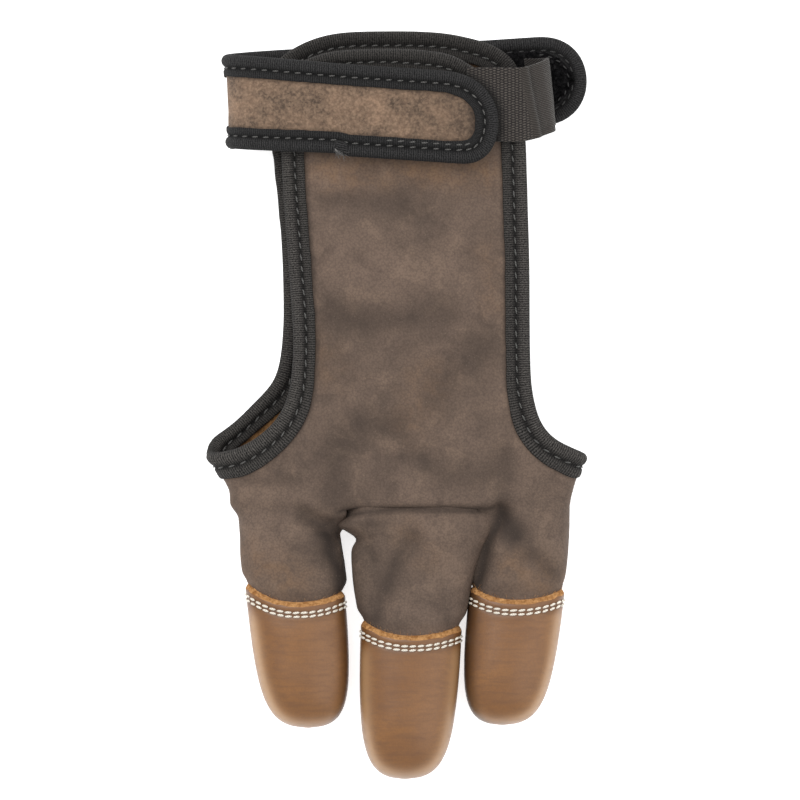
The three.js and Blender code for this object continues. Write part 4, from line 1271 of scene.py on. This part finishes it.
def makeStrap():
    length = strapFinish - strapStart

    def place(u, v):
        run = strapStart + length * u
        low, high = max(strapHalf(run, -1) - 0.4, 0.3), max(strapHalf(run, 1) - 0.4, 0.3)
        swell = 0.22 * noise.noise(Vector((run / 9, v * 2.2, 0.4)))
        swell += 0.1 * noise.noise(Vector((run / 3, v * 7, 5.4)))
        return strapPoint(run, strapY(run) + mix(-low, high, v), swell)

    def mark(u, v):
        # darker beside the tape and towards the rounded end
        run = strapStart + length * u
        gap = min(v * 25 - 4.6, (1 - v) * 25 - 4.6, strapFinish - 6.4 - run)
        return clamp(0.75 * ease(-gap, -1.6, 0.2) + 0.4 * ease(run, strapFinish - 30, strapFinish - 10))
    bm = foldedSheet(210, 30, place, (length, 25.0), merge=False, mark=mark)
    piece = finishPiece(bm, "wristStrap", [strapLeather, fleshSide], ["wrist_strap"],
                        outwards=False)
    thicken(piece, strap["leather"], 0, 0, 0)
    widths = [strapHalf(strapStart + length * i / 200, 1) + strapHalf(strapStart + length * i / 200, -1) - 0.8
              for i in range(201)]
    print("strap leather", round(max(widths), 1), "by", round(length, 1), "mm")
    return piece


def makeStrapTape():
    flat = []
    for side in (1, -1):
        for i in range(500):
            t = i / 500 if side > 0 else 1 - i / 500
            run = mix(strapStart, strapFinish, (1 - math.cos(math.pi * t)) / 2)
            flat.append(Vector((run, strapY(run) + side * strapHalf(run, side), 0.0)))
    path = softened(evenPoints(flat, tapeShape["step"]), 2)
    count = len(path)
    tangents = [(path[(i + 1) % count] - path[i - 1]).normalized() for i in range(count)]
    tangents = [t.normalized() for t in softened(tangents, 3)]
    inwards = [Vector((t.y, -t.x, 0)) for t in tangents]
    profile = tapeProfile(strap["leather"] / 2)

    def reachAt(here):
        tip = ease(here.x, strapFinish - 16, strapFinish - 4)
        return mix(0.76, 0.84, tip) if here.x > strapRuns[strapTurn] else 0.84

    def pointAt(i, along, away):
        spot = path[i] + inwards[i] * along
        return strapPoint(spot.x, spot.y, away)
    rings = tapeRings(path, inwards, pointAt, profile, reachAt, 8.2)
    length = sum((path[i] - path[i - 1]).length for i in range(count))
    makeTapePiece("strapBinding", rings, profile, length, strapTape, ["strap_binding"])
    sites, flapSites = [], []
    secondRow = (strapRunAt(-5.0, True), strapRunAt(20.0, True))
    for i in stitchIndexes(count):
        rows = [tapeShape["stitchAt"] * reachAt(path[i])]
        if tangents[i].x < -0.5 and secondRow[0] < path[i].x < secondRow[1]:
            rows.append(rows[0] + 1.5)
        for row in rows:
            spot = path[i] + inwards[i] * row
            ahead = spot + tangents[i]
            for face in (1, -1):
                place = strapPoint(spot.x, spot.y, face * (1.2 if row == rows[0] else 1.6))
                if place.z > 0.4:
                    along = strapPoint(ahead.x, ahead.y, 0) - strapPoint(spot.x, spot.y, 0)
                    out = (strapPoint(spot.x, spot.y, 1) - strapPoint(spot.x, spot.y, 0)) * face
                    # those on the flap's inner face are dark
                    dim = path[i].x < strapRunAt(10.0, False)
                    (flapSites if dim else sites).append((place, along, out))
    makeStitches("strapStitches", sites, (0.92, 0.25, 0.21), tapeThread, 0.12, 5)
    makeStitches("flapStitches", flapSites, (0.92, 0.25, 0.21), dimThread, 0.12, 6)


def makeTapeEnd():
    # the tape's own end laps over its start and frays there
    run = strapJoint - 1.2
    low = strapY(run) - strapHalf(run + 1, -1)

    def place(u, v):
        along, around = mix(-1.2, 3.4, v), 2 * math.pi * (u if u < 1 else 0)
        close = math.sqrt(max(1 - abs(2 * v - 1) ** 3, 0))
        rough = 1 + 0.12 * noise.noise(Vector((math.cos(around) * 2, math.sin(around) * 2, v * 4)))
        across = math.cos(around) * 1.55 * close * rough
        up = math.sin(around) * 0.95 * close * rough
        lean = 0.5 * along
        return strapPoint(run + along, low + 0.9 - lean * 0.5 + across, 1.35 + up)
    bm = foldedSheet(20, 12, place, (9.0, 5.0))
    finishPiece(bm, "tapeEnd", [strapTape])
    sites = []
    for i in range(70):
        shift = noise.noise(Vector((i * 1.7, 3, 1)))
        spot = strapPoint(run - 0.9 + 2.2 * ((i * 0.618) % 1), low + 0.4 * shift,
                          0.9 + 1.0 * ((i * 0.381) % 1))
        aim = Vector((0.25 + 0.35 * noise.noise(Vector((i * 2.3, 1, 4))), -1.0, 0.1)).normalized()
        sites.append((spot, aim, Vector((0, 0, 1)), 1.3 + 1.3 * ((i * 0.754) % 1)))
    makeFibres("frayedEnd", sites, frayedThread, 0.09)


makeStrap()
makeStrapTape()
makeTapeEnd()
print("strap ready")

# Elastic and loop pad
elastic = {
    "thick": 1.1, "width": 21.3, "start": 19.0, "fold": 43.6, "end": 37.0, "middle": 117.4,
    "above": 2.67, "lift": 3.5, "tilt": 0.11, "crease": 18.6, "creaseSlant": 0.18,
}


def cubic(a, b, c, d, t):
    return a * (1 - t) ** 3 + b * 3 * t * (1 - t) ** 2 + c * 3 * t * t * (1 - t) + d * t ** 3


def makeElasticBand():
    lower = 2 * strap["tapeHalf"] + 0.3 + elastic["thick"] / 2
    line = []
    for i in range(28):
        x = mix(elastic["start"], elastic["fold"] - 8.6, i / 27)
        p = handAt(x, elastic["middle"], 1, elastic["above"])
        line.append(Vector((p.x, 0, p.z)))
    top = line[-1].copy()
    fold = Vector((elastic["fold"], 0, mix(lower, top.z, 0.46)))
    steps = [i / 24 for i in range(1, 25)]
    line += [cubic(top, Vector((fold.x - 2.2, 0, top.z - 2.6)), Vector((fold.x, 0, fold.z + 3.4)), fold, t)
             for t in steps]
    line += [cubic(fold, Vector((fold.x, 0, fold.z - 3.4)), Vector((fold.x - 1.6, 0, lower)),
                   Vector((elastic["end"], 0, lower)), t) for t in steps]
    line = evenPoints(line, 0.5, closed=False)
    runs = [0.5 * i for i in range(len(line))]

    def pastCrease(i, across):
        return runs[i] - (elastic["crease"] - elastic["creaseSlant"] * across)

    def place(u, v):
        i = round(u * (len(line) - 1))
        here = line[i]
        along = (line[min(i + 1, len(line) - 1)] - line[max(i - 1, 0)]).normalized()
        out = Vector((-along.z, 0, along.x))
        past = ease(runs[i], 14.0, 31.0)
        across = mix(-1, 1, v) * elastic["width"] / 2 * (1 - 0.02 * past)
        ridge = pastCrease(i, across)
        swell = 0.55 * math.exp(-(ridge / 0.8) ** 2) - 0.35 * ease(ridge, 0.3, 1.2) * (1 - ease(ridge, 3, 6))
        swell += 0.16 * noise.noise(Vector((runs[i] / 5, across / 5, 3.3)))
        if across < -8.6:
            swell -= 0.35 * past
        spot = here + out * swell
        shift = elastic["middle"] + elastic["lift"] * past
        return Vector((spot.x - elastic["tilt"] * across * past, shift + across, spot.z))
    strapEdge = []
    for side in (1, -1):
        for i in range(60):
            run = strapFinish - 16 * (i / 59) ** 2
            spot = strapPoint(run, strapY(run) + side * strapHalf(run, side), 0)
            strapEdge.append((spot.x + 1.4 * (1 - i / 59), spot.y + side * 1.2))

    def mark(u, v):
        # painted shadow of the strap's rounded end, and painted shade in the dip past the crease and further
        # round the fold
        spot = place(u, v)
        away = min(math.hypot(spot.x - x, spot.y - y) for x, y in strapEdge)
        past = pastCrease(round(u * (len(line) - 1)), mix(-1, 1, v) * elastic["width"] / 2)
        dip = 0.3 * math.exp(-((past - 1.7) / 0.9) ** 2)
        under = 0.5 * ease(past, 7.0, 12.0)
        return clamp(max(0.85 * math.exp(-(away / 1.7) ** 2) * (1 - ease(past, 0, 4)), dip, under))
    bm = foldedSheet(len(line) - 1, 44, place, (runs[-1], elastic["width"]), merge=False, mark=mark)
    piece = finishPiece(bm, "elasticBand", [elasticWeave], ["elastic_band"], outwards=False)
    thicken(piece, elastic["thick"], 0)
    print("elastic", elastic["width"], "by", round(runs[-1], 1), "mm")
    return piece


def makeLoopPad():
    start, finish, inset = strapStart + 2.7, strapRunAt(27.0, False), 2.6

    def padSpot(u, v, away):
        run = mix(start, finish, u)
        half = max(strapHalf(run - 0.95 * inset, 1) - inset, 0.6)
        return strapPoint(run, strapY(run) + mix(-half, half, v), away)

    def place(u, v):
        return padSpot(u * u, v, -1.9 - 0.3 * noise.noise(Vector((u * 40, v * 34, 1))))
    bm = foldedSheet(70, 50, place, merge=False)
    bmesh.ops.reverse_faces(bm, faces=bm.faces)
    piece = finishPiece(bm, "loopPad", [loopPile], ["loop_pad"], outwards=False)
    thicken(piece, 0.45, -1)
    sites = []
    for i in range(1500):
        u, v = (i * 0.7548777) % 1.0, (i * 0.5698403) % 1.0
        spot = padSpot(u, v, -1.95)
        lean = Vector((noise.noise(Vector((i * 1.9, 2, 3))), noise.noise(Vector((1, i * 2.3, 3))), 0.3))
        sites.append((spot, lean.normalized(), Vector((0, 0, 1)), 0.7))
    makeFibres("loopPileHairs", sites, loopPile, 0.05)
    rim = []
    for i in range(60):
        angle = math.pi * (i / 59 - 0.5)
        run = start + 1.0 + 10.2 * (1 - math.cos(angle))
        half = strapHalf(run - 0.95 * inset, 1) - inset - 0.9
        rim.append(Vector((run, strapY(run) + half * math.sin(angle) / max(abs(math.sin(angle)), 0.35), 0)))
    rim = evenPoints(rim, 2.6, closed=False)
    ties = []
    for a, b in zip(rim, rim[1:]):
        spot, ahead = strapPoint(a.x, a.y, -2.25), strapPoint(b.x, b.y, -2.25)
        ties.append((spot, ahead - spot, Vector((0, 0, 1))))
    makeStitches("padStitches", ties, (0.75, 0.22, 0.18), dimThread, 0.1, 9)
    return piece


makeElasticBand()
makeLoopPad()
print("elastic and pad ready")
